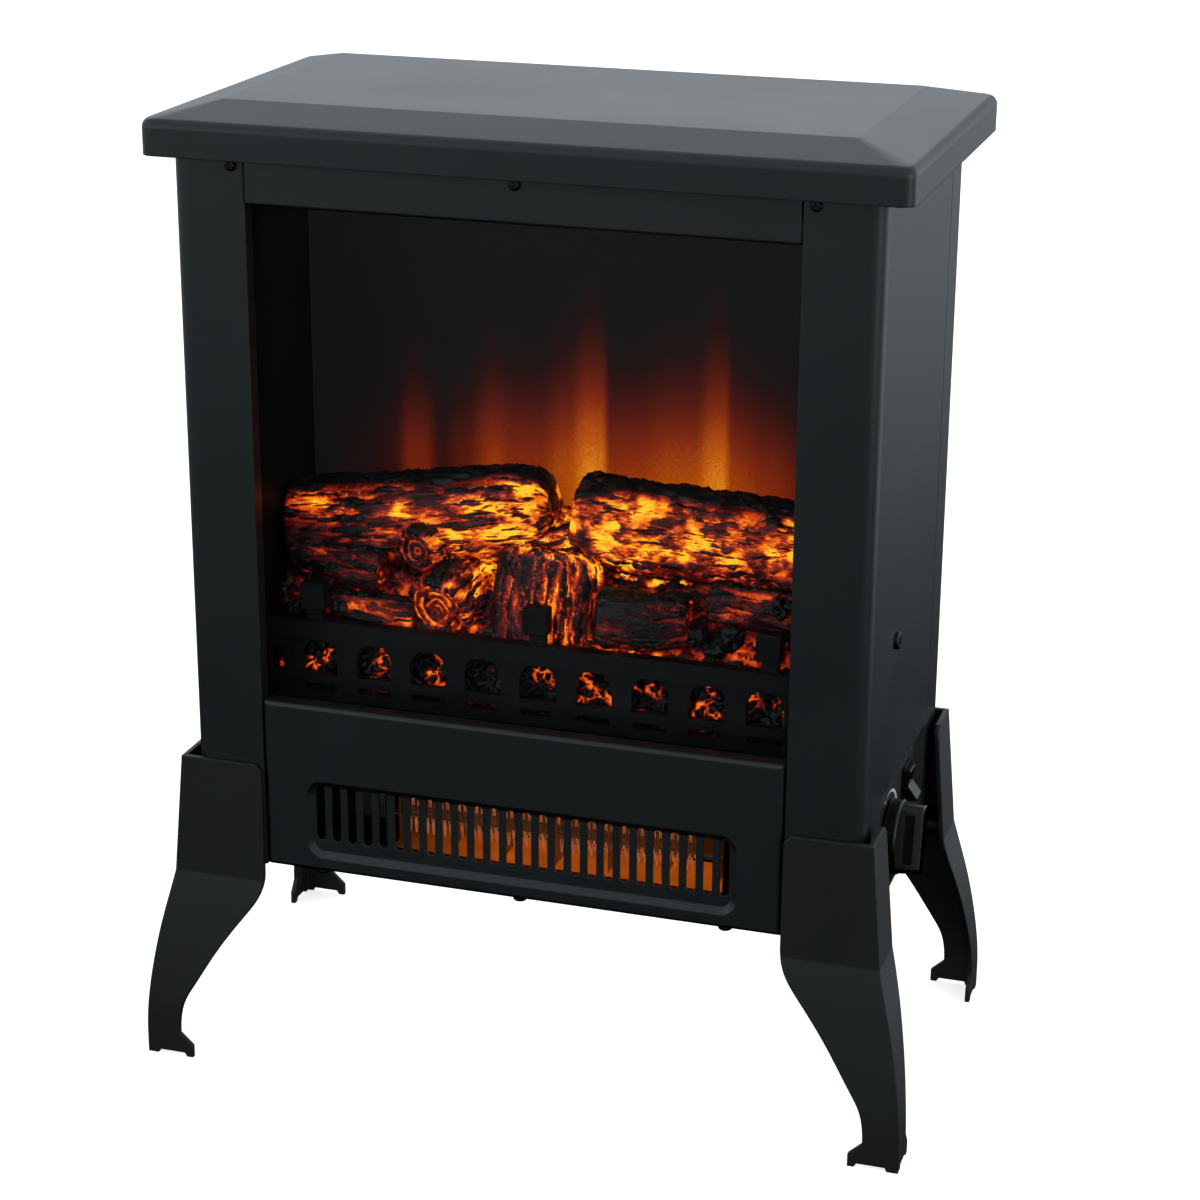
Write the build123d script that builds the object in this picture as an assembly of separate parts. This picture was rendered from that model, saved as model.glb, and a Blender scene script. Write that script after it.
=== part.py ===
"""Stove-style electric fireplace: fan heater below, glazed log fire above, on four flared legs.

Millimetres, +Z up, front towards -Y, origin at the middle of the footprint on the floor.
"""
from build123d import *
import os

# ---------------------------------------------------------------- driving dimensions
SHEET = 1.2                 # folded steel sheet
HEIGHT = 530.0              # floor to lid plateau
BODY_HALF_W = 184.5
BODY_FRONT, BODY_BACK = -100.0, 93.0
BODY_MID_Y = (BODY_FRONT + BODY_BACK) / 2
BODY_BOTTOM, BODY_TOP = 118.0, 504.0
CORNER_R, REAR_CORNER_R = 10.0, 3.5
REAR_FLANGE_Y = 66.0        # where the rear cover's side flange meets the side casing

LID_HALF_W, LID_FRONT, LID_BACK = 198.5, -106.5, 115.5
LID_FASCIA_TOP = 522.0
LID_INSET_SIDE, LID_INSET_FRONT, LID_INSET_BACK = 33.5, 29.5, 34.0

PILLAR_INNER_X = 144.0      # window edge of each front pillar
PILLAR_RETURN = 9.0         # depth of the folded window edge
HEADER_BOTTOM = 481.0
PANEL_TOP = 214.0
PANEL_FRONT = BODY_FRONT - 0.4

SLOT_COUNT, SLOT_PITCH, SLOT_W, SLOT_H, SLOT_Z = 26, 9.0, 5.0, 32.0, 152.0
GRILLE_HALF_W, GRILLE_BOTTOM, GRILLE_TOP, GRILLE_DEPTH = 119.5, 126.0, 171.0, 2.4

GLASS_FRONT, GLASS_T = -90.8, 4.0
FIREBOX_HALF_W = 155.0
FIREBOX_FRONT = GLASS_FRONT + GLASS_T + 0.3
SCREEN_FRONT, SCREEN_T = 6.0, 3.0
FIREBOX_ROOF_Z = 492.0
DECK_Z = 184.0              # heat shield between heater and fire
HEARTH_Z = 203.0            # floor of the fire compartment

GRATE_Y = -66.0             # front face of the grate bars
ARCH_PITCH, ARCH_W, ARCH_BOTTOM, ARCH_TOP = 31.0, 20.0, 219.0, 239.5
RAIL_TOP = 250.5
POST_X = 126.0

SPINDLE_Y, SPINDLE_Z, SPINDLE_R = 46.0, 232.0, 2.0
FOIL_R, FOIL_STATIONS, FOIL_BLADES = 20.0, 9, 4

FAN_Y, FAN_Z, FAN_R = -28.0, 151.0, 22.0
FAN_LEFT, FAN_RIGHT = -74.0, 106.0
FAN_SHAFT_R = 2.5
FAN_BLADES = 20
MOTOR_X = -104.0            # middle of the fan motor's lamination stack
ELEMENT_LEFT, ELEMENT_RIGHT = FAN_LEFT - 2.4, FAN_RIGHT + 2.4

KNOB_Y, KNOB_Z, KNOB_R = -11.5, 143.0, 20.5
KNOB_REST_TILT = -12.0      # the grip bar's lean at rest
GRIP_END_X = 199.8
RECESS_FLOOR_X = 180.0
ROCKER_Y, ROCKER_Z, ROCKER_REST_TILT = 31.0, 156.0, -14.0

LEG_WALL = 2.6
LEG_TOP, LEG_CREASE = 177.0, 109.0
LEG_INNER_X, LEG_INNER_Y = 144.5, -72.5
ANKLE_NARROWING = 0.5       # side wall's narrowing against the front wall's
FOOT_X, FOOT_Y = 213.5, -115.5
TOE_Z = 7.0

RUN_FIT = 0.05              # radial clearance of turning shafts

INLET_X, INLET_Z = 126.0, 146.0
SIDE_SCREW_Y, SIDE_SCREW_Z = -34.5, 263.5
LID_SCREW_X, LID_SCREW_Z = 150.5, 501.0
PANEL_SCREW_X, PANEL_SCREW_Y = 113.0, -95.5
LEG_SCREWS = ((175.0, -82.0), (161.0, -86.0))       # front right pair: x, y
REAR_SCREWS = ((0, 126), (-172, 190), (172, 190), (-172, 340), (172, 340), (-172, 494), (0, 494), (172, 494))
SCREW_HEAD_H = 2.2
TAPPER_SHANK_R, TAPPER_HOLE_R = 1.6, 1.8            # self-tapping screws and the holes they hold in

EMBER_STRIP_Y, FLAME_STRIP_Y = -31.0, 30.5          # emitter strips under the coals and the flames
STRIP_T = 1.6
CARD_LEVELS = (131.5, 151.0, 170.5)                 # mica cards, from the bottom
CARD_FRONT_Y, CARD_BACK_Y, LOW_CARD_BACK_Y = -84.0, -62.0, -52.0
ELEMENT_BAYS = 6
BAY_W = (ELEMENT_RIGHT - ELEMENT_LEFT - 8) / ELEMENT_BAYS


# ---------------------------------------------------------------- helpers
def span(x0, x1, y0, y1, z0, z1):
    """Box between two corners."""
    middle = ((x0 + x1) / 2, (y0 + y1) / 2, (z0 + z1) / 2)
    return Pos(*middle) * Box(x1 - x0, y1 - y0, z1 - z0)


def rod_x(x0, x1, y, z, r):
    """Cylinder along X."""
    return Pos((x0 + x1) / 2, y, z) * Rot(0, 90, 0) * Cylinder(r, x1 - x0)


def rod_y(x, y0, y1, z, r):
    """Cylinder along Y."""
    return Pos(x, (y0 + y1) / 2, z) * Rot(90, 0, 0) * Cylinder(r, y1 - y0)


def rod_z(x, y, z0, z1, r):
    """Cylinder along Z."""
    return Pos(x, y, (z0 + z1) / 2) * Cylinder(r, z1 - z0)


def mirror_x(shape):
    return mirror(shape, about=Plane.YZ)


def group(shapes):
    """Separate solids kept together in one node."""
    solids = []
    for shape in shapes:
        solids.extend(shape.solids())
    return Compound(children=solids)


def pan_screw_y(x, y, z, head_r, shank_r, length, towards=1):
    """Pan-head screw whose shank runs along Y from its seat at y."""
    top = y - towards * SCREW_HEAD_H
    tip = y + towards * length
    head = rod_y(x, min(y, top), max(y, top), z, head_r)
    head = fillet(head.edges().filter_by(GeomType.CIRCLE).sort_by(Axis.Y)[0 if towards > 0 else -1], 1.2)
    shank = rod_y(x, min(y, tip), max(y, tip), z, shank_r)
    reach, half_slot = 0.7 * head_r, 0.5
    slot = span(x - reach, x + reach, top - 0.9, top + 0.9, z - half_slot, z + half_slot)
    cross = span(x - half_slot, x + half_slot, top - 0.9, top + 0.9, z - reach, z + reach)
    return head + shank - slot - cross


# ---------------------------------------------------------------- casing
def lid_solid(grow, bottom):
    """The lid's outer form, grown or shrunk by one offset on every face."""
    half_w, front, back = LID_HALF_W + grow, LID_FRONT - grow, LID_BACK + grow
    depth, mid_y = back - front, (front + back) / 2
    flat_w = 2 * (LID_HALF_W - LID_INSET_SIDE + grow)
    flat_front, flat_back = LID_FRONT + LID_INSET_FRONT - grow, LID_BACK - LID_INSET_BACK + grow
    shoulder = LID_FASCIA_TOP + grow
    skirt = extrude(Pos(0, mid_y, bottom) * RectangleRounded(2 * half_w, depth, 8 + grow), shoulder - bottom)
    low = Pos(0, mid_y, shoulder) * RectangleRounded(2 * half_w, depth, 8 + grow)
    high = Pos(0, (flat_front + flat_back) / 2, HEIGHT + grow) * RectangleRounded(
        flat_w, flat_back - flat_front, 2.5)
    return skirt + loft([low, high])


def top_lid():
    outer = lid_solid(0, BODY_TOP)
    fold = outer.edges().filter_by(lambda e: abs(e.center().Z - LID_FASCIA_TOP) < 0.01)
    outer = fillet(fold, 5.0)
    shell = outer - lid_solid(-SHEET, BODY_TOP + SHEET)
    return shell - span(-176, 176, -92, 85, BODY_TOP - 1, BODY_TOP + SHEET + 1)


def body_ring(z0, z1, inset, wall, radius):
    """Closed band that follows the body's outline, one wall thick."""
    w = 2 * (BODY_HALF_W - inset)
    d = BODY_BACK - BODY_FRONT - 2 * inset
    outer = RectangleRounded(w, d, radius - inset)
    inner = RectangleRounded(w - 2 * wall, d - 2 * wall, radius - inset - wall)
    return extrude(Pos(0, BODY_MID_Y, z0) * (outer - inner), z1 - z0)


def right_casing():
    """Pillar, rounded corner and side in one folded sheet."""
    keep = span(PILLAR_INNER_X, 200, -120, REAR_FLANGE_Y - 0.8, 0, 600)
    wall = body_ring(BODY_BOTTOM, BODY_TOP, 0, SHEET, CORNER_R) & keep
    top_flange = body_ring(BODY_TOP - SHEET, BODY_TOP, 0, 10.0, CORNER_R + 3) & keep
    inner_x = BODY_HALF_W - SHEET
    window_edge = span(PILLAR_INNER_X, PILLAR_INNER_X + SHEET, BODY_FRONT + 0.4, BODY_FRONT + PILLAR_RETURN,
                       BODY_BOTTOM, BODY_TOP)
    joggle = span(inner_x - SHEET - 0.1, inner_x + 0.2, REAR_FLANGE_Y - 2.0, REAR_FLANGE_Y - 0.8,
                  BODY_BOTTOM, BODY_TOP)
    tab = span(inner_x - SHEET - 0.1, inner_x - 0.1, REAR_FLANGE_Y - 2.0, REAR_FLANGE_Y + 14,
               BODY_BOTTOM, BODY_TOP)
    casing = wall + top_flange + window_edge + joggle + tab
    fold = casing.edges().filter_by(Axis.Z).sort_by(lambda e: e.center().X + e.center().Y)[0]
    return fillet(fold, 1.1)


def control_opening():
    return span(RECESS_FLOOR_X - 6, 190, -57.2, 60.2, 119.3, 182.2)


def rear_cover():
    """U-shaped back sheet with intake louvres and the mains inlet hole."""
    wall = body_ring(BODY_BOTTOM, BODY_TOP, 0, SHEET, REAR_CORNER_R)
    wall &= span(-200, 200, REAR_FLANGE_Y, 120, 0, 600)
    top_flange = span(-180, 180, BODY_BACK - 12, BODY_BACK - 0.2, BODY_TOP - SHEET, BODY_TOP)
    for row in range(2):
        for col in range(14):
            x = -97.5 + 15 * col
            wall -= span(x - 2.5, x + 2.5, 80, 100, 134 + 34 * row, 160 + 34 * row)
    for row in range(5):
        for side in (-1, 1):
            wall -= span(side * 90 - 40, side * 90 + 40, 80, 100, 420 + 11 * row, 424 + 11 * row)
    wall -= rod_y(INLET_X, 80, 100, INLET_Z, 8.1)
    return wall + top_flange


def header_rail():
    """Channel that closes the window's top between the pillars."""
    half = PILLAR_INNER_X - 0.6
    front = BODY_FRONT
    face = span(-half, half, front, front + SHEET, HEADER_BOTTOM, BODY_TOP)
    lower = span(-half, half, front, front + 8.5, HEADER_BOTTOM, HEADER_BOTTOM + SHEET)
    upper = span(-half, half, front, front + 8.5, BODY_TOP - SHEET, BODY_TOP)
    rail = face + lower + upper
    edge = rail.edges().filter_by(Axis.X).group_by(Axis.Z)[0].sort_by(Axis.Y)[0]
    return fillet(edge, 1.8)


def grille_recess(front_y, back_y, grow):
    """Tapered block that dishes the grille field into the panel."""
    mid_z, height = (GRILLE_TOP + GRILLE_BOTTOM) / 2, GRILLE_TOP - GRILLE_BOTTOM
    wide = Plane(origin=(0, front_y, mid_z), x_dir=(1, 0, 0), z_dir=(0, 1, 0)) * RectangleRounded(
        2 * (GRILLE_HALF_W + grow), height + 2 * grow, 9 + grow)
    narrow = Plane(origin=(0, back_y, mid_z), x_dir=(1, 0, 0), z_dir=(0, 1, 0)) * RectangleRounded(
        2 * (GRILLE_HALF_W + grow) - 7, height + 2 * grow - 7, 5.5 + grow)
    return loft([wide, narrow])


def lower_panel():
    """Removable front panel with a dished field of upright slots."""
    half, front, back = PILLAR_INNER_X - 0.9, PANEL_FRONT, BODY_FRONT + 8.6
    block = span(-half, half, front, back, BODY_BOTTOM + 0.4, PANEL_TOP)
    block = fillet(block.edges().group_by(Axis.Y)[0], 2.4)
    hollow = span(-half + SHEET, half - SHEET, front + SHEET, back + 1,
                  BODY_BOTTOM + 0.4 + SHEET, PANEL_TOP - SHEET)
    panel = block - hollow
    panel += grille_recess(front + SHEET - 0.4, front + GRILLE_DEPTH + SHEET, 0.6)
    panel -= grille_recess(front - 0.01, front + GRILLE_DEPTH, 0)
    slot_face = Plane(origin=(0, front - 1, 0), x_dir=(1, 0, 0), z_dir=(0, -1, 0))
    slots = Sketch()
    for i in range(SLOT_COUNT):
        x = (i - (SLOT_COUNT - 1) / 2) * SLOT_PITCH
        slots += Pos(x, SLOT_Z) * SlotOverall(SLOT_H, SLOT_W, rotation=90)
    return panel - extrude(slot_face * slots, -8)


def base_plate():
    """Floor tray with intake slots and screw holes for the legs."""
    x, y0, y1 = BODY_HALF_W - 2 * SHEET - 0.5, BODY_FRONT + 9.2, BODY_BACK - SHEET - 0.3
    tray = span(-x, x, y0, y1, BODY_BOTTOM, BODY_BOTTOM + 12)
    tray -= span(-x + SHEET, x - SHEET, y0 + SHEET, y1 - SHEET, BODY_BOTTOM + SHEET, BODY_BOTTOM + 13)
    for i in range(12):
        cx = -110 + 20 * i
        tray -= span(cx - 3, cx + 3, 28, 62, BODY_BOTTOM - 1, BODY_BOTTOM + 2)
    for hole in leg_screw_places():
        tray -= rod_z(hole[0], hole[1], BODY_BOTTOM - 1, BODY_BOTTOM + 2, 2.2)
    tray -= control_opening()
    return tray


def heat_shield_deck():
    """Sheet between the heater bay and the fire compartment."""
    deck = span(-170, 170, BODY_FRONT + 15, 80, DECK_Z, DECK_Z + SHEET)
    for side in (-1, 1):
        deck += span(min(side * 170, side * 168.8), max(side * 170, side * 168.8), BODY_FRONT + 15, 80,
                     DECK_Z, DECK_Z + 9)
    return deck - span(-20, 20, 60, 72, DECK_Z - 1, DECK_Z + 3)


# ---------------------------------------------------------------- fire compartment
def glass_pane():
    return span(-150, 150, GLASS_FRONT, GLASS_FRONT + GLASS_T, 205, 490)


def glass_clips():
    """Spring-steel angle clips that press the pane against the folded edges."""
    clips = []
    back = GLASS_FRONT + GLASS_T
    for side in (-1, 1):
        for z in (222, 474):
            x0, x1 = sorted((side * 147, side * 154.4))
            clip = span(x0, x1, back, back + 0.8, z - 6, z + 6)
            w0, w1 = sorted((side * 153.6, side * 154.4))
            clip += span(w0, w1, back, back + 9, z - 6, z + 6)
            clips.append(clip)
    return group(clips)


def firebox_wall():
    """Left wall of the fire compartment; the right one mirrors it."""
    x = -FIREBOX_HALF_W
    wall = span(x - 1, x, FIREBOX_FRONT, SCREEN_FRONT + 12, DECK_Z + SHEET, FIREBOX_ROOF_Z)
    foot = span(x - 12, x, FIREBOX_FRONT, SCREEN_FRONT + 12, DECK_Z + SHEET, DECK_Z + SHEET + 1)
    return wall + foot


def firebox_roof():
    return span(-FIREBOX_HALF_W - 1, FIREBOX_HALF_W + 1, FIREBOX_FRONT, SCREEN_FRONT + 12,
                FIREBOX_ROOF_Z, FIREBOX_ROOF_Z + 1)


def flame_screen():
    """Translucent panel that the flame light plays on."""
    return span(-FIREBOX_HALF_W + 0.3, FIREBOX_HALF_W - 0.3, SCREEN_FRONT, SCREEN_FRONT + SCREEN_T,
                HEARTH_Z + 1.2, FIREBOX_ROOF_Z - 0.3)


def hearth_floor():
    """Gloss black ledge with a window for the ember light."""
    half = FIREBOX_HALF_W - 0.3
    floor = span(-half, half, FIREBOX_FRONT, SCREEN_FRONT + 8, HEARTH_Z, HEARTH_Z + 1.2)
    return floor - span(-140, 140, -56, -6, HEARTH_Z - 1, HEARTH_Z + 2)


def bark_log(x0, y0, z0, x1, y1, z1, r0, r1):
    """Faceted tapering log between two end centres."""
    start, end = Vector(x0, y0, z0), Vector(x1, y1, z1)
    along = (end - start).normalized()
    a = Plane(origin=start, z_dir=along) * RegularPolygon(r0, 9)
    b = Plane(origin=end, z_dir=along) * RegularPolygon(r1, 9)
    return loft([a, b])


def log_bed():
    """Moulded log set: two long rear logs, two cross logs, a split stump and the coals between."""
    bed = span(-153, 153, -56, 4.5, 225, 262)
    bed += bark_log(-152, -24, 292, -8, -20, 312, 25, 26)
    bed += bark_log(10, -20, 310, 152, -23, 301, 25, 24)
    bed += bark_log(-92, -56, 285, -62, -10, 296, 15, 15)
    bed += bark_log(-60, -60, 262, -45, -20, 270, 19, 19)
    bed += bark_log(-8, -55, 262, -3, -40, 298, 20, 17)
    bed += bark_log(30, -54, 266, 140, -44, 274, 17, 18)
    bed += bark_log(-150, -48, 268, -95, -44, 276, 17, 18)
    bed += span(-150, 150, -30, 4.5, 258, 288)
    return bed & span(-153.5, 153.5, -61.5, 5.7, 200, 420)


def ember_bed():
    """Translucent coal moulding that glows behind the grate."""
    profile = Polyline((-60.5, HEARTH_Z + 1.4), (-60.5, 236), (-57, 236), (-57, 224.5), (4.5, 224.5),
                       (4.5, 221.5), (-54, 221.5), (-54, HEARTH_Z + 1.4), close=True)
    face = make_face(Plane.YZ * profile)
    return Pos(-153, 0, 0) * extrude(face, 306, dir=(1, 0, 0))


def arch_window(x):
    r = ARCH_W / 2
    opening = Pos(x, (ARCH_BOTTOM + ARCH_TOP - r) / 2) * Rectangle(ARCH_W, ARCH_TOP - r - ARCH_BOTTOM)
    crown = Pos(x, ARCH_TOP - r) * Circle(r)
    return opening + crown


def grate_front():
    """Black moulded grate: arched bars, a top rail and three square posts."""
    half = FIREBOX_HALF_W - 0.5
    bars = span(-half, half, GRATE_Y, GRATE_Y + 4, HEARTH_Z + 1.3, ARCH_TOP)
    front = Plane(origin=(0, GRATE_Y - 1, 0), x_dir=(1, 0, 0), z_dir=(0, -1, 0))
    windows = Sketch()
    for i in range(-4, 5):
        windows += arch_window(i * ARCH_PITCH)
    end_top = ARCH_TOP - 6
    for side in (-1, 1):
        windows += Pos(side * 149, (ARCH_BOTTOM + end_top) / 2) * Rectangle(8, end_top - ARCH_BOTTOM)
    for i in range(-4, 5):
        windows += Pos(i * ARCH_PITCH, 211.5) * SlotOverall(19, 4)
    bars -= extrude(front * windows, -8)
    bars += span(-half, half, GRATE_Y - 3, GRATE_Y + 4, ARCH_TOP, RAIL_TOP)
    for x in (-POST_X, 0, POST_X):
        bars += span(x - 4.5, x + 4.5, GRATE_Y - 1, GRATE_Y + 4, RAIL_TOP, 258)
        block = span(x - 7, x + 7, GRATE_Y - 5, GRATE_Y + 4, 257, 272)
        bars += chamfer(block.edges(), 0.8)
    return bars


# ---------------------------------------------------------------- flame effect
def spindle_bracket(x):
    """Upright on the deck that carries one end of the flame spindle."""
    plate = span(x - 0.6, x + 0.6, 22, 72, DECK_Z + SHEET, SPINDLE_Z + 30)
    foot = span(x - 0.6, x + 12, 22, 72, DECK_Z + SHEET, DECK_Z + 2 * SHEET)
    return plate + foot - rod_x(x - 2, x + 2, SPINDLE_Y, SPINDLE_Z, 5.05)


def spindle_bush():
    """Flanged nylon bearing in the left bracket."""
    body = rod_x(-142.6, -139.4, SPINDLE_Y, SPINDLE_Z, 5.0)
    flange = rod_x(-139.4, -137.8, SPINDLE_Y, SPINDLE_Z, 7.5)
    return body + flange - rod_x(-145, -135, SPINDLE_Y, SPINDLE_Z, SPINDLE_R + RUN_FIT)


def flame_spindle():
    return rod_x(-146, 128.5, SPINDLE_Y, SPINDLE_Z, SPINDLE_R)


def flame_foils():
    """Bright bent blades on push-on hubs that flicker the light."""
    foils = []
    for i in range(FOIL_STATIONS):
        x = -118 + 27.5 * i
        hub = rod_x(x - 9, x + 9, SPINDLE_Y, SPINDLE_Z, 4.2)
        for blade in range(FOIL_BLADES):
            plate = Pos(0, 0, FOIL_R / 2 + 1.5) * Rot(0, 0, 24) * Box(16, 0.6, FOIL_R - 3)
            turn = 360 / FOIL_BLADES * blade + 31 * i
            hub += Pos(x, SPINDLE_Y, SPINDLE_Z) * Rot(turn, 0, 0) * plate
        foils.append(hub - rod_x(x - 12, x + 12, SPINDLE_Y, SPINDLE_Z, SPINDLE_R + RUN_FIT))
    return group(foils)


def flame_motor():
    """Slow synchronous motor on the right bracket."""
    can = rod_x(124.2, 139, SPINDLE_Y, SPINDLE_Z, 24)
    can = fillet(can.edges().filter_by(GeomType.CIRCLE), 1.5)
    nose = rod_x(121.5, 124.2, SPINDLE_Y, SPINDLE_Z, 4.9)
    for side in (-1, 1):
        can += span(124.2, 125.4, SPINDLE_Y + side * 26 - 5, SPINDLE_Y + side * 26 + 5,
                    SPINDLE_Z - 5, SPINDLE_Z + 5)
    return can + nose - rod_x(120, 129, SPINDLE_Y, SPINDLE_Z, SPINDLE_R + RUN_FIT)


def light_strip(y, half):
    """Circuit board on the deck that carries a row of emitters."""
    return span(-half, half, y - 7, y + 7, DECK_Z + SHEET, DECK_Z + SHEET + STRIP_T)


def light_emitters(y, half, count):
    """Row of small square emitters on a strip."""
    row = []
    z = DECK_Z + SHEET + STRIP_T
    for i in range(count):
        x = -half + 12 + i * (2 * half - 24) / (count - 1)
        row.append(span(x - 2.5, x + 2.5, y - 2.5, y + 2.5, z, z + 1.8))
    return group(row)


# ---------------------------------------------------------------- heater
def heater_cheek(x):
    """End plate that holds the element, the scroll and the impeller bearing."""
    plate = span(x - 0.6, x + 0.6, -89.3, 4, BODY_BOTTOM + SHEET, DECK_Z)
    return plate - rod_x(x - 2, x + 2, FAN_Y, FAN_Z, 6.05)


def fan_scroll():
    """Curved sheet around the impeller that ends in the outlet duct's roof and floor."""
    x0, x1 = FAN_LEFT - 3.2, FAN_RIGHT + 3.2
    outer, inner = FAN_R + 5.2, FAN_R + 4.0
    ring = Circle(outer) - Circle(inner)
    ring -= Pos(-outer, 0) * Rectangle(2 * outer, 2 * inner - 6)
    ring -= Pos(outer / 2 + 6, -outer / 2 - 2) * Rectangle(outer + 12, outer + 4)
    sheet = Plane(origin=(x0, FAN_Y, FAN_Z), x_dir=(0, 1, 0), z_dir=(1, 0, 0)) * ring
    scroll = extrude(sheet, x1 - x0)
    roof = span(x0, x1, -88, FAN_Y - 6, FAN_Z + inner - 0.8, FAN_Z + inner + 0.4)
    floor = span(x0, x1, -88, FAN_Y - 6, FAN_Z - inner - 0.4, FAN_Z - inner + 0.8)
    return group([scroll + roof, floor])


def element_frame():
    """Mica cards that carry the resistance wire."""
    cards = []
    for z in CARD_LEVELS:
        back = LOW_CARD_BACK_Y if z == CARD_LEVELS[0] else CARD_BACK_Y
        cards.append(span(ELEMENT_LEFT, ELEMENT_RIGHT, CARD_FRONT_Y, back, z - 0.5, z + 0.5))
    for i in range(ELEMENT_BAYS + 1):
        x = ELEMENT_LEFT + 4 + i * BAY_W
        for low, high in zip(CARD_LEVELS, CARD_LEVELS[1:]):
            cards.append(span(x - 0.4, x + 0.4, CARD_FRONT_Y, CARD_BACK_Y, low + 0.5, high - 0.5))
    return group(cards)


def heating_wires():
    """Zigzag resistance wire, three rows in each of the six bays, above and below the middle card."""
    wires = []
    margin, rise = 2.2, 12.6
    step = (BAY_W - 2 * margin) / 8
    for row in range(3):
        y = CARD_FRONT_Y + 3 + 7.5 * row
        for card_z in CARD_LEVELS[:2]:
            low = card_z + 3.3
            for i in range(ELEMENT_BAYS):
                start = ELEMENT_LEFT + 4 + i * BAY_W + margin
                points = [(start + k * step, low + (rise if k % 2 else 0)) for k in range(9)]
                line = Polyline(*points)
                face = Plane(origin=(0, y, 0), x_dir=(1, 0, 0), z_dir=(0, -1, 0)) * trace(line, 0.9)
                wires.append(extrude(face, 0.9))
    return group(wires)


def fan_impeller():
    """Cross-flow wheel: three discs joined by a ring of forward-leaning blades."""
    discs = []
    for x in (FAN_LEFT, (FAN_LEFT + FAN_RIGHT) / 2 - 0.6, FAN_RIGHT - 1.2):
        discs.append(rod_x(x, x + 1.2, FAN_Y, FAN_Z, FAN_R))
    wheel = discs[0] + discs[1] + discs[2]
    blades = []
    for i in range(FAN_BLADES):
        blade = Pos((FAN_LEFT + FAN_RIGHT) / 2, 0, 0) * Box(FAN_RIGHT - FAN_LEFT, 0.7, 6.0)
        blade = Rot(360 / FAN_BLADES * i, 0, 0) * Pos(0, 0, FAN_R - 3.6) * Rot(28, 0, 0) * blade
        blades.append(Pos(0, FAN_Y, FAN_Z) * blade)
    wheel = wheel.fuse(*blades)
    for x in (FAN_LEFT - 1.5, FAN_RIGHT - 1.2):
        wheel += rod_x(x, x + 2.7, FAN_Y, FAN_Z, 5)
    return wheel - rod_x(FAN_LEFT - 4, FAN_RIGHT + 4, FAN_Y, FAN_Z, FAN_SHAFT_R + RUN_FIT)


def fan_shaft():
    """Steel shaft with the motor's rotor pressed on."""
    return rod_x(-122, FAN_RIGHT + 6, FAN_Y, FAN_Z, FAN_SHAFT_R)


def fan_rotor():
    core = rod_x(MOTOR_X - 9, MOTOR_X + 9, FAN_Y, FAN_Z, 12.5)
    return core - rod_x(MOTOR_X - 12, MOTOR_X + 12, FAN_Y, FAN_Z, FAN_SHAFT_R + RUN_FIT)


def motor_stack():
    """Shaded-pole lamination stack with its rotor bore."""
    stack = span(MOTOR_X - 9, MOTOR_X + 9, FAN_Y - 21, FAN_Y + 47, FAN_Z - 20, FAN_Z + 20)
    stack -= span(MOTOR_X - 10, MOTOR_X + 10, FAN_Y + 19, FAN_Y + 38, FAN_Z - 10, FAN_Z + 30)
    return stack - rod_x(MOTOR_X - 10, MOTOR_X + 10, FAN_Y, FAN_Z, 13.0)


def motor_coil():
    """Copper winding on the stack's lower limb."""
    y0, y1 = FAN_Y + 19.4, FAN_Y + 37.6
    coil = span(MOTOR_X - 14, MOTOR_X + 14, y0, y1, FAN_Z - 28, FAN_Z - 5)
    coil = fillet(coil.edges().filter_by(Axis.Y), 4)
    return coil - span(MOTOR_X - 9.2, MOTOR_X + 9.2, y0 - 1, y1 + 1, FAN_Z - 20.2, FAN_Z - 9.8)


def motor_bridges():
    """Die-cast bearing bridges on both faces of the stack."""
    bridges = []
    for side in (-1, 1):
        x0, x1 = sorted((MOTOR_X + side * 9, MOTOR_X + side * 12))
        bridge = span(x0, x1, FAN_Y - 5, FAN_Y + 5, FAN_Z - 19, FAN_Z + 19)
        b0, b1 = sorted((MOTOR_X + side * 12, MOTOR_X + side * 17))
        bridge += rod_x(b0, b1, FAN_Y, FAN_Z, 6)
        bridges.append(bridge - rod_x(x0 - 10, x1 + 10, FAN_Y, FAN_Z, FAN_SHAFT_R + RUN_FIT))
    return group(bridges)


def impeller_bush():
    """Rubber-set bearing in the right cheek."""
    bush = rod_x(FAN_RIGHT + 3.2, FAN_RIGHT + 5.6, FAN_Y, FAN_Z, 6.0)
    return bush - rod_x(FAN_RIGHT, FAN_RIGHT + 8, FAN_Y, FAN_Z, FAN_SHAFT_R + RUN_FIT)


def thermal_cutout():
    """Bimetal disc cut-out clipped to the left cheek."""
    cup = rod_x(-82.0, -78.4, -74, 165, 8)
    block = span(-90, -82, -80, -68, 159, 171)
    return cup + block


def terminal_block():
    """Three-way ceramic terminal block on the floor tray."""
    block = span(122, 152, 55, 75, BODY_BOTTOM + SHEET, BODY_BOTTOM + 16)
    for i in range(3):
        block -= rod_z(128 + 9 * i, 65, BODY_BOTTOM + 8, BODY_BOTTOM + 20, 2.6)
    return block


def mains_inlet_gland():
    """Moulded gland that lines the cord hole in the rear cover."""
    body = rod_y(INLET_X, BODY_BACK - 12, BODY_BACK + 0.2, INLET_Z, 8.0)
    flange = rod_y(INLET_X, BODY_BACK + 0.2, BODY_BACK + 4.5, INLET_Z, 11)
    flange = fillet(flange.edges().filter_by(GeomType.CIRCLE).sort_by(Axis.Y)[-1], 1.5)
    return body + flange - rod_y(INLET_X, BODY_BACK - 20, BODY_BACK + 10, INLET_Z, 3.6)


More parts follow.
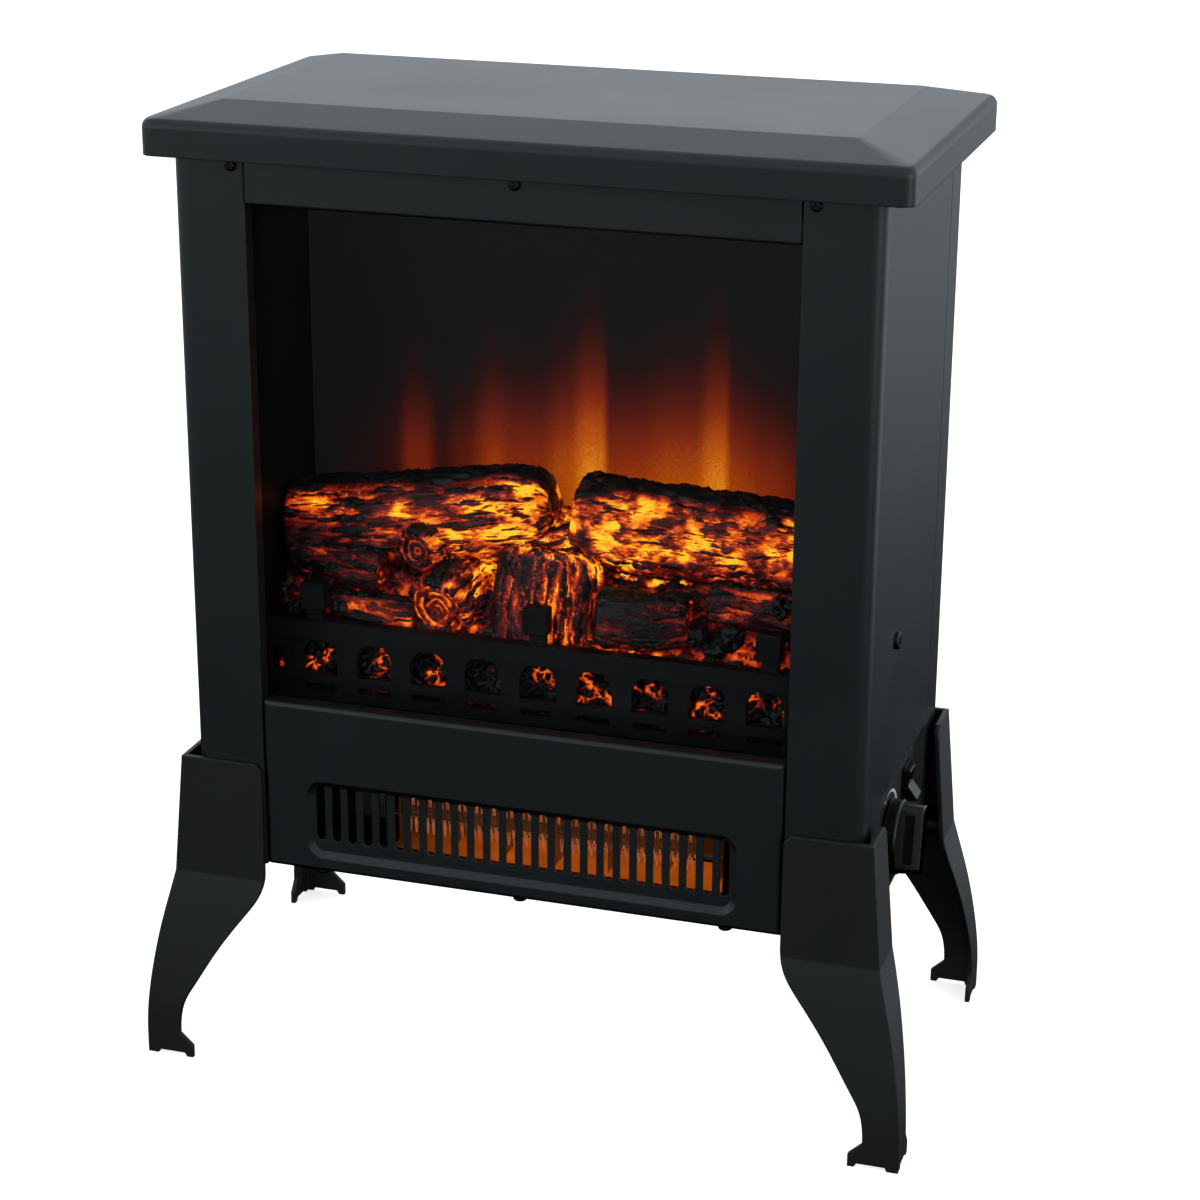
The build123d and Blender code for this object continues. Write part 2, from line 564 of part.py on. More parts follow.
def wire_loom():
    """Insulated leads from the terminal block to the controls."""
    leads = []
    for i in range(3):
        route = FilletPolyline((152.2, 60 + 4 * i, 126 + 3 * i), (164 + 3 * i, 60 + 4 * i, 126 + 3 * i),
                               (164 + 3 * i, 8 + 3 * i, 126 + 3 * i), (164 + 3 * i, 8 + 3 * i, 134 + 3 * i),
                               radius=3.0)
        start = Plane(origin=route @ 0, z_dir=route % 0)
        leads.append(sweep(start * Circle(1.1), path=route))
    return group(leads)


# ---------------------------------------------------------------- controls
def control_plate():
    """Recessed plastic plate with a bevelled surround."""
    block = span(RECESS_FLOOR_X - 2, BODY_HALF_W, -56.9, 59.9, 119.6, 181.9)
    wide = Plane(origin=(BODY_HALF_W, 1.5, 150.75), x_dir=(0, 1, 0), z_dir=(1, 0, 0)) * RectangleRounded(
        115, 60.9, 3)
    deep = Plane(origin=(RECESS_FLOOR_X, 1.5, 148.9), x_dir=(0, 1, 0), z_dir=(1, 0, 0)) * RectangleRounded(
        106, 55.6, 3)
    plate = block - loft([wide, deep])
    plate -= rod_x(RECESS_FLOOR_X - 4, RECESS_FLOOR_X + 2, KNOB_Y, KNOB_Z, 5.2)
    plate -= span(RECESS_FLOOR_X - 4, RECESS_FLOOR_X + 2, ROCKER_Y - 7.6, ROCKER_Y + 7.6,
                  ROCKER_Z - 11.1, ROCKER_Z + 11.1)
    return plate


def thermostat_body():
    """Bimetal thermostat behind the plate, with its threaded collar."""
    box = span(146, 168, KNOB_Y - 17, KNOB_Y + 17, KNOB_Z - 14, KNOB_Z + 14)
    box = fillet(box.edges().filter_by(Axis.X), 2)
    collar = rod_x(168, RECESS_FLOOR_X - 0.2, KNOB_Y, KNOB_Z, 4.8)
    tabs = span(140, 146, KNOB_Y - 9, KNOB_Y - 8, KNOB_Z - 3, KNOB_Z + 3)
    tabs += span(140, 146, KNOB_Y + 8, KNOB_Y + 9, KNOB_Z - 3, KNOB_Z + 3)
    return box + collar + tabs - rod_x(160, 190, KNOB_Y, KNOB_Z, 3.0 + RUN_FIT)


def thermostat_shaft():
    """Spindle that the knob pushes onto."""
    return rod_x(161, 192, KNOB_Y, KNOB_Z, 3.0)


def thermostat_knob():
    """Round skirt with one upright grip bar across its full width."""
    skirt = rod_x(RECESS_FLOOR_X + 1, RECESS_FLOOR_X + 8, 0, 0, KNOB_R)
    skirt = fillet(skirt.edges().filter_by(GeomType.CIRCLE).sort_by(Axis.X)[-1], 1.2)
    face = RECESS_FLOOR_X + 7.9
    foot = Plane(origin=(face, 0, 0), x_dir=(0, 1, 0), z_dir=(1, 0, 0)) * RectangleRounded(13.5, 39, 4)
    top = Plane(origin=(GRIP_END_X, 0, 0), x_dir=(0, 1, 0), z_dir=(1, 0, 0)) * RectangleRounded(11, 37, 3.6)
    grip = loft([foot, top])
    grip = fillet(grip.faces().sort_by(Axis.X)[-1].edges(), 1.2)
    for side in (-1, 1):
        pocket = span(face + 1.6, GRIP_END_X - 4.6, side * 7 - 1.8, side * 7 + 1.8, -13.5, 13.5)
        grip -= fillet(pocket.edges().filter_by(Axis.Y), 1.2)
    knob = skirt + grip - rod_x(RECESS_FLOOR_X, 192.5, 0, 0, 3.0 + RUN_FIT)
    return Pos(0, KNOB_Y, KNOB_Z) * Rot(KNOB_REST_TILT, 0, 0) * knob


def rocker_housing():
    """Bezel and body of the snap-in rocker switch."""
    x = RECESS_FLOOR_X
    bezel = span(x, x + 1.8, ROCKER_Y - 8.5, ROCKER_Y + 8.5, ROCKER_Z - 12.5, ROCKER_Z + 12.5)
    bezel = fillet(bezel.edges().filter_by(Axis.X), 1.5)
    body = span(x - 20, x, ROCKER_Y - 7.4, ROCKER_Y + 7.4, ROCKER_Z - 10.9, ROCKER_Z + 10.9)
    cavity = span(x - 8, x + 5, ROCKER_Y - 6.1, ROCKER_Y + 6.1, ROCKER_Z - 10.0, ROCKER_Z + 10.0)
    pivot = rod_y(x - 0.5, ROCKER_Y - 6.9, ROCKER_Y + 6.9, ROCKER_Z, 1.0 + RUN_FIT)
    blades = []
    for z in (ROCKER_Z - 7, ROCKER_Z, ROCKER_Z + 7):
        blades.append(span(x - 28, x - 20, ROCKER_Y - 2.4, ROCKER_Y + 2.4, z - 0.4, z + 0.4))
    housing = bezel + body - cavity - pivot
    return housing + blades[0] + blades[1] + blades[2]


def rocker_paddle():
    """Two-position rocker with a dished face and pivot stubs."""
    outline = Polyline((-5.0, -8.6), (7.5, -8.9), (3.8, 0.0), (7.5, 8.9), (-5.0, 8.6), close=True)
    face = Plane(origin=(0, 5.8, 0), x_dir=(1, 0, 0), z_dir=(0, -1, 0)) * make_face(outline)
    paddle = extrude(face, 11.6)
    paddle = fillet(paddle.edges().filter_by(Axis.Y).group_by(Axis.X)[-1], 0.8)
    stubs = Rot(90, 0, 0) * Cylinder(1.0, 13.4)
    return Pos(RECESS_FLOOR_X - 0.5, ROCKER_Y, ROCKER_Z) * Rot(0, ROCKER_REST_TILT, 0) * (paddle + stubs)


# ---------------------------------------------------------------- legs
def leg_outer_curve(foot, crease, top):
    """Outer edge of one wall, from the foot up: (across, height)."""
    sweep_out = foot - crease
    flare = Spline((foot, 12), (foot - 0.17 * sweep_out, 46), (foot - 0.56 * sweep_out, 80),
                   (crease, LEG_CREASE), tangents=((0, 1), (-0.22 * (1 if sweep_out > 0 else -1), 1)))
    return Line((foot, 0), (foot, 12)) + flare + Line((crease, LEG_CREASE), (top, LEG_TOP))


def leg_wall_face(foot, crease, top, inner, narrowing, round_top):
    """Outline of one leg wall: upright flank, curved calf, ankle and toe."""
    s = 1 if foot > 0 else -1
    ankle = inner + s * 49.5 * narrowing
    reach = ankle - inner
    toe = ankle - s * 7.5 * (1 if narrowing == 1 else 0.7)
    outer = leg_outer_curve(foot, crease, top)
    over = Line((top, LEG_TOP), (inner + s * round_top, LEG_TOP))
    corner = Line((inner + s * round_top, LEG_TOP), (inner, LEG_TOP - round_top))
    flank = Line((inner, LEG_TOP - round_top), (inner, 114))
    calf = Spline((inner, 114), (inner + 0.22 * reach, 88), (inner + 0.53 * reach, 67),
                  (inner + 0.84 * reach, 42), (ankle, 14), tangents=((0, -1), (0, -1)))
    sole = Polyline((ankle, 14), (toe, TOE_Z), (toe, 0), (toe + s * 3.5, 0), (toe + s * 5, 2.2),
                    (foot - s * 7, 2.2), (foot - s * 6, 0), (foot, 0))
    return make_face(outer + over + corner + flank + calf + sole)


def leg_strip_face(foot, crease, top, wall):
    """Band one wall thick that follows the outer edge curve."""
    s = 1 if foot > 0 else -1
    outer = leg_outer_curve(foot, crease, top)
    inner = leg_outer_curve(foot - s * wall, crease - s * wall, top - s * wall)
    low = Line((foot - s * wall, 0), (foot, 0))
    high = Line((top, LEG_TOP), (top - s * wall, LEG_TOP))
    return make_face(outer + high + inner + low)


def front_right_leg():
    """Cast corner leg: two flaring walls and a shelf under the floor tray."""
    x_curve = (FOOT_X, 197.2, 191.2)
    y_curve = (FOOT_Y, BODY_FRONT - 4.2, BODY_FRONT - 3.0)
    xz = Plane(origin=(0, 0, 0), x_dir=(1, 0, 0), z_dir=(0, -1, 0))
    yz = Plane(origin=(0, 0, 0), x_dir=(0, 1, 0), z_dir=(1, 0, 0))
    front_outline = extrude(xz * leg_wall_face(*x_curve, LEG_INNER_X, 1.0, 4.0), 140)
    front_sheet = extrude(yz * leg_strip_face(*y_curve, LEG_WALL), 230)
    side_outline = extrude(yz * leg_wall_face(*y_curve, LEG_INNER_Y, ANKLE_NARROWING, 4.0), 230)
    side_sheet = extrude(xz * leg_strip_face(*x_curve, LEG_WALL), 140)
    leg = (front_outline & front_sheet) + (side_outline & side_sheet)
    shelf = span(152, 197.2 - 1.4, BODY_FRONT - 2.6, -76, BODY_BOTTOM - 4, BODY_BOTTOM)
    shelf -= Pos(152, -76, 116) * Rot(0, 0, 45) * Box(22, 22, 8)
    leg += shelf
    for x, y in LEG_SCREWS:
        leg -= rod_z(x, y, BODY_BOTTOM - 6, BODY_BOTTOM + 1, 2.2)
    return leg


def leg_screw_places():
    """All eight leg screws, mirrored from the front right pair."""
    places = []
    for x, y in LEG_SCREWS:
        for sx in (-1, 1):
            places.append((sx * x, y))
            places.append((sx * x, 2 * BODY_MID_Y - y))
    return places


def leg_screws():
    screws = []
    for x, y in leg_screw_places():
        head = rod_z(x, y, BODY_BOTTOM - 6.4, BODY_BOTTOM - 4, 4)
        head = fillet(head.edges().filter_by(GeomType.CIRCLE).sort_by(Axis.Z)[0], 1.2)
        screws.append(head + rod_z(x, y, BODY_BOTTOM - 4, BODY_BOTTOM + 5, 2.0))
    return group(screws)


# ---------------------------------------------------------------- fasteners
def lid_screws():
    """Three self-tappers through the front frame's top edge."""
    return group([pan_screw_y(x, BODY_FRONT, LID_SCREW_Z, 2.9, TAPPER_SHANK_R, 5)
                  for x in (-LID_SCREW_X, 0, LID_SCREW_X)])


def panel_screws():
    """Three self-tappers up into the lower panel's bottom fold."""
    screws = []
    seat = BODY_BOTTOM + 0.4
    for x in (-PANEL_SCREW_X, 0, PANEL_SCREW_X):
        head = rod_z(x, PANEL_SCREW_Y, seat - SCREW_HEAD_H, seat, 3.8)
        head = fillet(head.edges().filter_by(GeomType.CIRCLE).sort_by(Axis.Z)[0], 1.2)
        screws.append(head + rod_z(x, PANEL_SCREW_Y, seat, seat + 5.6, TAPPER_SHANK_R))
    return group(screws)


def side_screw(side):
    """Dished pan-head screw that ties the side casing to the firebox."""
    top = BODY_HALF_W + 2.4
    x0, x1 = sorted((side * BODY_HALF_W, side * top))
    head = rod_x(x0, x1, SIDE_SCREW_Y, SIDE_SCREW_Z, 4.8)
    head = fillet(head.edges().filter_by(GeomType.CIRCLE).sort_by(Axis.X)[-1 if side > 0 else 0], 1.4)
    s0, s1 = sorted((side * (BODY_HALF_W - 8), side * BODY_HALF_W))
    recess = Pos(side * top, SIDE_SCREW_Y, SIDE_SCREW_Z) * Rot(25, 0, 0) * (Box(2, 5, 1.1) + Box(2, 1.1, 5))
    return head + rod_x(s0, s1, SIDE_SCREW_Y, SIDE_SCREW_Z, 2.0) - recess


def rear_screws():
    return group([pan_screw_y(x, BODY_BACK, z, 3.6, TAPPER_SHANK_R, 5, towards=-1) for x, z in REAR_SCREWS])


def with_screw_holes(sheet, places, axis_rod):
    for place in places:
        sheet -= axis_rod(*place)
    return sheet


# ---------------------------------------------------------------- assembly
def build():
    casing = right_casing() - rod_y(LID_SCREW_X, -110, -95, LID_SCREW_Z, TAPPER_HOLE_R)
    casing -= rod_x(180, 190, SIDE_SCREW_Y, SIDE_SCREW_Z, 2.3)
    header = header_rail() - rod_y(0, -110, -95, LID_SCREW_Z, TAPPER_HOLE_R)
    panel_holes = [(x, PANEL_SCREW_Y, 117, 121, TAPPER_HOLE_R) for x in (-PANEL_SCREW_X, 0, PANEL_SCREW_X)]
    panel = with_screw_holes(lower_panel(), panel_holes, rod_z)
    rear_holes = [(x, 85, 100, z, TAPPER_HOLE_R) for x, z in REAR_SCREWS]
    rear = with_screw_holes(rear_cover(), rear_holes, rod_y)
    tray = with_screw_holes(base_plate(), rear_holes[:1], rod_y)
    leg = front_right_leg()
    rear_leg = mirror(leg, about=Plane.XZ.offset(-BODY_MID_Y))
    left_wall = firebox_wall()
    return {
        "top_lid": top_lid(),
        "left_casing": mirror_x(casing),
        "right_casing": casing - control_opening(),
        "rear_cover": rear,
        "header_rail": header,
        "lower_panel": panel,
        "base_plate": tray,
        "heat_shield_deck": heat_shield_deck(),
        "glass_pane": glass_pane(),
        "glass_clips": glass_clips(),
        "firebox_wall_left": left_wall,
        "firebox_wall_right": mirror_x(left_wall),
        "firebox_roof": firebox_roof(),
        "flame_screen": flame_screen(),
        "hearth_floor": hearth_floor(),
        "log_bed": log_bed(),
        "ember_bed": ember_bed(),
        "grate_front": grate_front(),
        "spindle_bracket_left": spindle_bracket(-141.0),
        "spindle_bracket_right": spindle_bracket(122.5),
        "spindle_bush": spindle_bush(),
        "flame_spindle": flame_spindle(),
        "flame_foils": flame_foils(),
        "flame_motor": flame_motor(),
        "ember_light_strip": light_strip(EMBER_STRIP_Y, 130),
        "ember_emitters": light_emitters(EMBER_STRIP_Y, 130, 12),
        "flame_light_strip": light_strip(FLAME_STRIP_Y, 110),
        "flame_emitters": light_emitters(FLAME_STRIP_Y, 110, 8),
        "heater_cheek_left": heater_cheek(FAN_LEFT - 3.8),
        "heater_cheek_right": heater_cheek(FAN_RIGHT + 3.8),
        "fan_scroll": fan_scroll(),
        "element_frame": element_frame(),
        "heating_wires": heating_wires(),
        "fan_impeller": fan_impeller(),
        "fan_shaft": fan_shaft(),
        "fan_rotor": fan_rotor(),
        "motor_stack": motor_stack(),
        "motor_coil": motor_coil(),
        "motor_bridges": motor_bridges(),
        "impeller_bush": impeller_bush(),
        "thermal_cutout": thermal_cutout(),
        "terminal_block": terminal_block(),
        "mains_inlet_gland": mains_inlet_gland(),
        "wire_loom": wire_loom(),
        "control_plate": control_plate(),
        "thermostat_body": thermostat_body(),
        "thermostat_shaft": thermostat_shaft(),
        "thermostat_knob": thermostat_knob(),
        "rocker_housing": rocker_housing(),
        "rocker_paddle": rocker_paddle(),
        "leg_front_right": leg,
        "leg_front_left": mirror_x(leg),
        "leg_rear_right": rear_leg,
        "leg_rear_left": mirror_x(rear_leg),
        "leg_screws": leg_screws(),
        "lid_screws": lid_screws(),
        "panel_screws": panel_screws(),
        "side_screws": group([side_screw(-1), side_screw(1)]),
        "rear_screws": rear_screws(),
    }


os.makedirs("parts", exist_ok=True)
for name, shape in build().items():
    export_step(shape, f"parts/{name}.step")
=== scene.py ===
"""Stove-style electric fireplace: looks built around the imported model. Metres, +Z up, front towards -Y."""
import math

import bpy
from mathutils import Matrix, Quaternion, Vector, noise


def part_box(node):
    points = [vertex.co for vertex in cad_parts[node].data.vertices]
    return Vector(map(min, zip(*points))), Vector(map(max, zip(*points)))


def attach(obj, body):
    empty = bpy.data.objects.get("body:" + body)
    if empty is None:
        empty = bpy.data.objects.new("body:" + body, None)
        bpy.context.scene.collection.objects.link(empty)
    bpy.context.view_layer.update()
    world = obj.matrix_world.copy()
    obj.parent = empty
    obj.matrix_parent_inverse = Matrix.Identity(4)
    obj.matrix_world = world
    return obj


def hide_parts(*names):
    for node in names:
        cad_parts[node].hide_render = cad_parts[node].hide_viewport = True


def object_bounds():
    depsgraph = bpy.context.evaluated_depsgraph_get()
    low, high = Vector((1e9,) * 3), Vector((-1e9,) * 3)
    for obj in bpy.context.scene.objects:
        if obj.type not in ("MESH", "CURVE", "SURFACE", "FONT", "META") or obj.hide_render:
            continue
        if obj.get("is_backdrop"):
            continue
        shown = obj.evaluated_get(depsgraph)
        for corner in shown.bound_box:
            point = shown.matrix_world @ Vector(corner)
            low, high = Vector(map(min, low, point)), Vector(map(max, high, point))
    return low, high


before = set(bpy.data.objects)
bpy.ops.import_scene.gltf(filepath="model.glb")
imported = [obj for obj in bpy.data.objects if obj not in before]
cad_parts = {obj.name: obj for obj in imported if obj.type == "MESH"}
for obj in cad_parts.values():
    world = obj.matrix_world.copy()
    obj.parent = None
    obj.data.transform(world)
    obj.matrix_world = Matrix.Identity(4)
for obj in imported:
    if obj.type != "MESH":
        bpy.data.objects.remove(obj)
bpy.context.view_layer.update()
MM = 0.001

# ---------------------------------------------------------------- studio
# A pale seamless floor, a surround that is pale above the horizon and dark well below it, and four
# soft panels: above and behind, to the right, a narrow one for the right front corner, a weak one for
# the front. The camera stands in front, to the right, and looks down on the fireplace.
PAPER_GLOW, PAPER_TONE = 0.82, (0.86, 0.9)
SURROUND_DARK_Z, SURROUND_WHITE_Z, SURROUND_STRENGTH = -0.33, -0.13, (-0.04, 0.70)
bpy.ops.object.select_all(action="DESELECT")
bpy.ops.object.camera_add(location=(0.45171, -1.40147, 0.77650))
camera = bpy.context.object
camera.data.sensor_width = 36.0
camera.data.lens = 85.785
yaw, pitch, roll = math.radians(17.361), math.radians(-19.565), math.radians(0.378)
camera.rotation_mode = "QUATERNION"
camera.rotation_quaternion = (Quaternion((0, 0, 1), yaw) @ Quaternion((1, 0, 0), math.pi / 2 + pitch)
                              @ Quaternion((0, 0, 1), roll))
bpy.context.scene.camera = camera
bpy.context.scene.view_settings.view_transform = "Standard"


def new_material(name):
    """Material with its tree and its shader."""
    material = bpy.data.materials.new(name)
    material.use_nodes = True
    tree = material.node_tree
    return material, tree, tree.nodes["Principled BSDF"]


def soft_panel(name, location, target, width, height, watts, tint):
    """Rectangular light that faces a target and isn't seen by the camera."""
    bpy.ops.object.select_all(action="DESELECT")
    bpy.ops.object.light_add(type="AREA", location=location)
    panel = bpy.context.object
    panel.name = name
    panel.data.shape = "RECTANGLE"
    panel.data.size, panel.data.size_y = width, height
    panel.data.energy = watts
    panel.data.color = tint
    panel.rotation_euler = (Vector(target) - Vector(location)).to_track_quat("-Z", "Y").to_euler()
    panel.visible_camera = False
    return panel


bpy.ops.mesh.primitive_plane_add(size=24, location=(0, 4, 0))
floor = bpy.context.object
floor.name = "studio_floor"
floor_paper, tree, shader = new_material("studio_paper")
shader.inputs["Roughness"].default_value = 0.9
shader.inputs["Emission Strength"].default_value = PAPER_GLOW
coords = tree.nodes.new("ShaderNodeTexCoord")
mottle = tree.nodes.new("ShaderNodeTexNoise")
mottle.inputs["Scale"].default_value = 3.0
tone = tree.nodes.new("ShaderNodeMapRange")
tone.inputs["To Min"].default_value, tone.inputs["To Max"].default_value = PAPER_TONE
tree.links.new(coords.outputs["Object"], mottle.inputs["Vector"])
tree.links.new(mottle.outputs["Fac"], tone.inputs["Value"])
tree.links.new(tone.outputs["Result"], shader.inputs["Base Color"])
tree.links.new(tone.outputs["Result"], shader.inputs["Emission Color"])
floor.data.materials.append(floor_paper)
floor.visible_glossy = False
floor.visible_diffuse = False
floor.visible_transmission = False
floor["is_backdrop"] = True

soft_panel("rear_softbox", (-1.0, 2.3, 1.9), (0, 0.1, 0.5), 3.0, 2.2, 12.5, (0.84, 0.91, 1.0))
soft_panel("right_softbox", (1.9, 1.5, 0.45), (0.1, 0, 0.30), 1.6, 1.9, 11, (0.84, 0.93, 1.0))
soft_panel("corner_softbox", (1.7, -0.55, 0.65), (0.15, -0.1, 0.3), 0.5, 1.2, 4.5, (0.90, 0.98, 1.0))
soft_panel("front_fill", (-1.9, -2.0, 1.0), (0, 0, 0.4), 1.6, 1.2, 6, (0.95, 0.98, 1.0))

world = bpy.data.worlds.new("studio_surround")
bpy.context.scene.world = world
world.use_nodes = True
tree = world.node_tree
background = tree.nodes["Background"]
direction = tree.nodes.new("ShaderNodeTexCoord")
split = tree.nodes.new("ShaderNodeSeparateXYZ")
sky = tree.nodes.new("ShaderNodeMapRange")
sky.inputs["From Min"].default_value = SURROUND_DARK_Z
sky.inputs["From Max"].default_value = SURROUND_WHITE_Z
sky.inputs["To Min"].default_value, sky.inputs["To Max"].default_value = SURROUND_STRENGTH
ray = tree.nodes.new("ShaderNodeLightPath")
seen = tree.nodes.new("ShaderNodeMix")
seen.data_type = "FLOAT"
seen.inputs["B"].default_value = 1.0
tree.links.new(direction.outputs["Generated"], split.inputs["Vector"])
tree.links.new(split.outputs["Z"], sky.inputs["Value"])
tree.links.new(ray.outputs["Is Camera Ray"], seen.inputs["Factor"])
tree.links.new(sky.outputs["Result"], seen.inputs["A"])
tree.links.new(seen.outputs["Result"], background.inputs["Strength"])
tone = tree.nodes.new("ShaderNodeMix")
tone.data_type = "RGBA"
tone.inputs["A"].default_value = (0.85, 0.95, 1.0, 1)
tone.inputs["B"].default_value = (1, 1, 1, 1)
tree.links.new(ray.outputs["Is Camera Ray"], tone.inputs["Factor"])
tree.links.new(tone.outputs["Result"], background.inputs["Color"])


# ---------------------------------------------------------------- casing
# Folded 1.2 mm steel sheets and the pressed lid, in satin black powder coat: a fine orange-peel
# surface that is a little glossier along rounded folds. They hook together and are screwed.
def socket(group, name, kind, way="INPUT", default=None):
    """One named socket on a node group."""
    made = group.interface.new_socket(name=name, in_out=way, socket_type=kind)
    if default is not None:
        made.default_value = default
    return made


def build_grain_group():
    """Fine grain of a coating or moulding: a height, and a slow patchiness for colour and gloss."""
    group = bpy.data.node_groups.new("surface_grain", "ShaderNodeTree")
    socket(group, "Grain per metre", "NodeSocketFloat", default=1100.0)
    socket(group, "Patches per metre", "NodeSocketFloat", default=14.0)
    socket(group, "Height", "NodeSocketFloat", "OUTPUT")
    socket(group, "Patch", "NodeSocketFloat", "OUTPUT")
    nodes, links = group.nodes, group.links
    given, out = nodes.new("NodeGroupInput"), nodes.new("NodeGroupOutput")
    place = nodes.new("ShaderNodeTexCoord")
    peel = nodes.new("ShaderNodeTexNoise")
    peel.inputs["Detail"].default_value = 3.0
    pits = nodes.new("ShaderNodeTexVoronoi")
    both = nodes.new("ShaderNodeMath")
    both.operation = "MULTIPLY_ADD"
    both.inputs[1].default_value = 0.35
    slow = nodes.new("ShaderNodeTexNoise")
    slow.inputs["Detail"].default_value = 4.0
    for texture in (peel, pits, slow):
        links.new(place.outputs["Object"], texture.inputs["Vector"])
    links.new(given.outputs["Grain per metre"], peel.inputs["Scale"])
    links.new(given.outputs["Grain per metre"], pits.inputs["Scale"])
    links.new(given.outputs["Patches per metre"], slow.inputs["Scale"])
    links.new(pits.outputs["Distance"], both.inputs[0])
    links.new(peel.outputs["Fac"], both.inputs[2])
    links.new(both.outputs["Value"], out.inputs["Height"])
    links.new(slow.outputs["Fac"], out.inputs["Patch"])
    return group


surface_grain = build_grain_group()


def grained(tree, grain=1100.0, patches=14.0):
    """Puts the shared grain into a material."""
    node = tree.nodes.new("ShaderNodeGroup")
    node.node_tree = surface_grain
    node.inputs["Grain per metre"].default_value = grain
    node.inputs["Patches per metre"].default_value = patches
    return node


def mapped(tree, value, low, high, source_low=0.3, source_high=0.7):
    """Spreads a value between two limits; a noise mostly stays between 0.3 and 0.7."""
    node = tree.nodes.new("ShaderNodeMapRange")
    node.inputs["From Min"].default_value = source_low
    node.inputs["From Max"].default_value = source_high
    node.inputs["To Min"].default_value = low
    node.inputs["To Max"].default_value = high
    tree.links.new(value, node.inputs["Value"])
    return node.outputs["Result"]


def tinted(tree, value, dark, light):
    """Colour that runs from dark to light with a value from 0 to 1."""
    node = tree.nodes.new("ShaderNodeMix")
    node.data_type = "RGBA"
    node.inputs["A"].default_value = (*dark, 1)
    node.inputs["B"].default_value = (*light, 1)
    tree.links.new(value, node.inputs["Factor"])
    return node.outputs["Result"]


def raised(tree, shader, height, depth, edge=0.0):
    """Bump of a real depth, over a softened edge of a real radius."""
    bump = tree.nodes.new("ShaderNodeBump")
    bump.inputs["Strength"].default_value = 1.0
    bump.inputs["Distance"].default_value = depth
    tree.links.new(height, bump.inputs["Height"])
    if edge:
        soft_edge = tree.nodes.new("ShaderNodeBevel")
        soft_edge.samples = 4
        soft_edge.inputs["Radius"].default_value = edge
        tree.links.new(soft_edge.outputs["Normal"], bump.inputs["Normal"])
    tree.links.new(bump.outputs["Normal"], shader.inputs["Normal"])


def coated(name, colour, gloss, grain=1100.0, depth=0.00003, edge=0.0, shine=0.5):
    """Paint, powder coat or moulded plastic. gloss is the lowest and highest roughness."""
    material, tree, shader = new_material(name)
    shader.inputs["Specular IOR Level"].default_value = shine
    grain_node = grained(tree, grain)
    patch = mapped(tree, grain_node.outputs["Patch"], 0.0, 1.0)
    dark = tuple(0.88 * c for c in colour)
    light = tuple(1.14 * c for c in colour)
    tree.links.new(tinted(tree, patch, dark, light), shader.inputs["Base Color"])
    tree.links.new(mapped(tree, grain_node.outputs["Patch"], *gloss), shader.inputs["Roughness"])
    raised(tree, shader, grain_node.outputs["Height"], depth, edge)
    return material


def finish_nodes(material, *names):
    """Gives CAD nodes their finish."""
    for name in names:
        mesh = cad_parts[name].data
        mesh.materials.clear()
        mesh.materials.append(material)


powder_coat = coated("powder_coat", (0.0078, 0.0096, 0.0104), (0.37, 0.40), edge=0.0009)
finish_nodes(powder_coat, "top_lid", "left_casing", "right_casing", "rear_cover", "header_rail",
             "lower_panel")

# ---------------------------------------------------------------- legs
# Four corner legs cast in one piece each, black, slightly coarser than the powder coat, with a
# rounded outer corner. Two screws each hold them under the floor tray.
leg_black = coated("leg_black", (0.0070, 0.0078, 0.0082), (0.5, 0.56), grain=1500.0, edge=0.0016,
                   shine=0.42)
finish_nodes(leg_black, "leg_front_right", "leg_front_left", "leg_rear_right", "leg_rear_left")


# ---------------------------------------------------------------- inner sheet metal
# Galvanised sheet that nobody sees from the front: floor tray, heat shield, fan duct, cheeks and
# brackets. The zinc shows large pale crystals.
def metal(name, colour, roughness, crystals=0.0, streaks=(0, 0, 0), depth=0.00001):
    """Bare metal: crystals or fine streaks, whichever its making leaves."""
    material, tree, shader = new_material(name)
    shader.inputs["Metallic"].default_value = 1.0
    place = tree.nodes.new("ShaderNodeTexCoord")
    if crystals:
        texture = tree.nodes.new("ShaderNodeTexVoronoi")
        texture.inputs["Scale"].default_value = crystals
        tree.links.new(place.outputs["Object"], texture.inputs["Vector"])
        value = texture.outputs["Color"]
    else:
        texture = tree.nodes.new("ShaderNodeTexNoise")
        texture.inputs["Scale"].default_value = 1.0
        texture.inputs["Detail"].default_value = 4.0
        stretch = tree.nodes.new("ShaderNodeMapping")
        stretch.inputs["Scale"].default_value = streaks
        tree.links.new(place.outputs["Object"], stretch.inputs["Vector"])
        tree.links.new(stretch.outputs["Vector"], texture.inputs["Vector"])
        value = texture.outputs["Fac"]
    dark = tuple(0.8 * c for c in colour)
    tree.links.new(tinted(tree, value, dark, colour), shader.inputs["Base Color"])
    tree.links.new(mapped(tree, value, roughness * 0.85, roughness * 1.2), shader.inputs["Roughness"])
    raised(tree, shader, value, depth)
    return material


zinc = metal("galvanised_steel", (0.56, 0.58, 0.60), 0.34, crystals=110.0)
finish_nodes(zinc, "base_plate", "heat_shield_deck", "spindle_bracket_left", "spindle_bracket_right",
             "flame_motor")
heat_dulled = metal("heat_dulled_steel", (0.060, 0.040, 0.034), 0.55, crystals=110.0)
finish_nodes(heat_dulled, "heater_cheek_left", "heater_cheek_right", "fan_scroll")

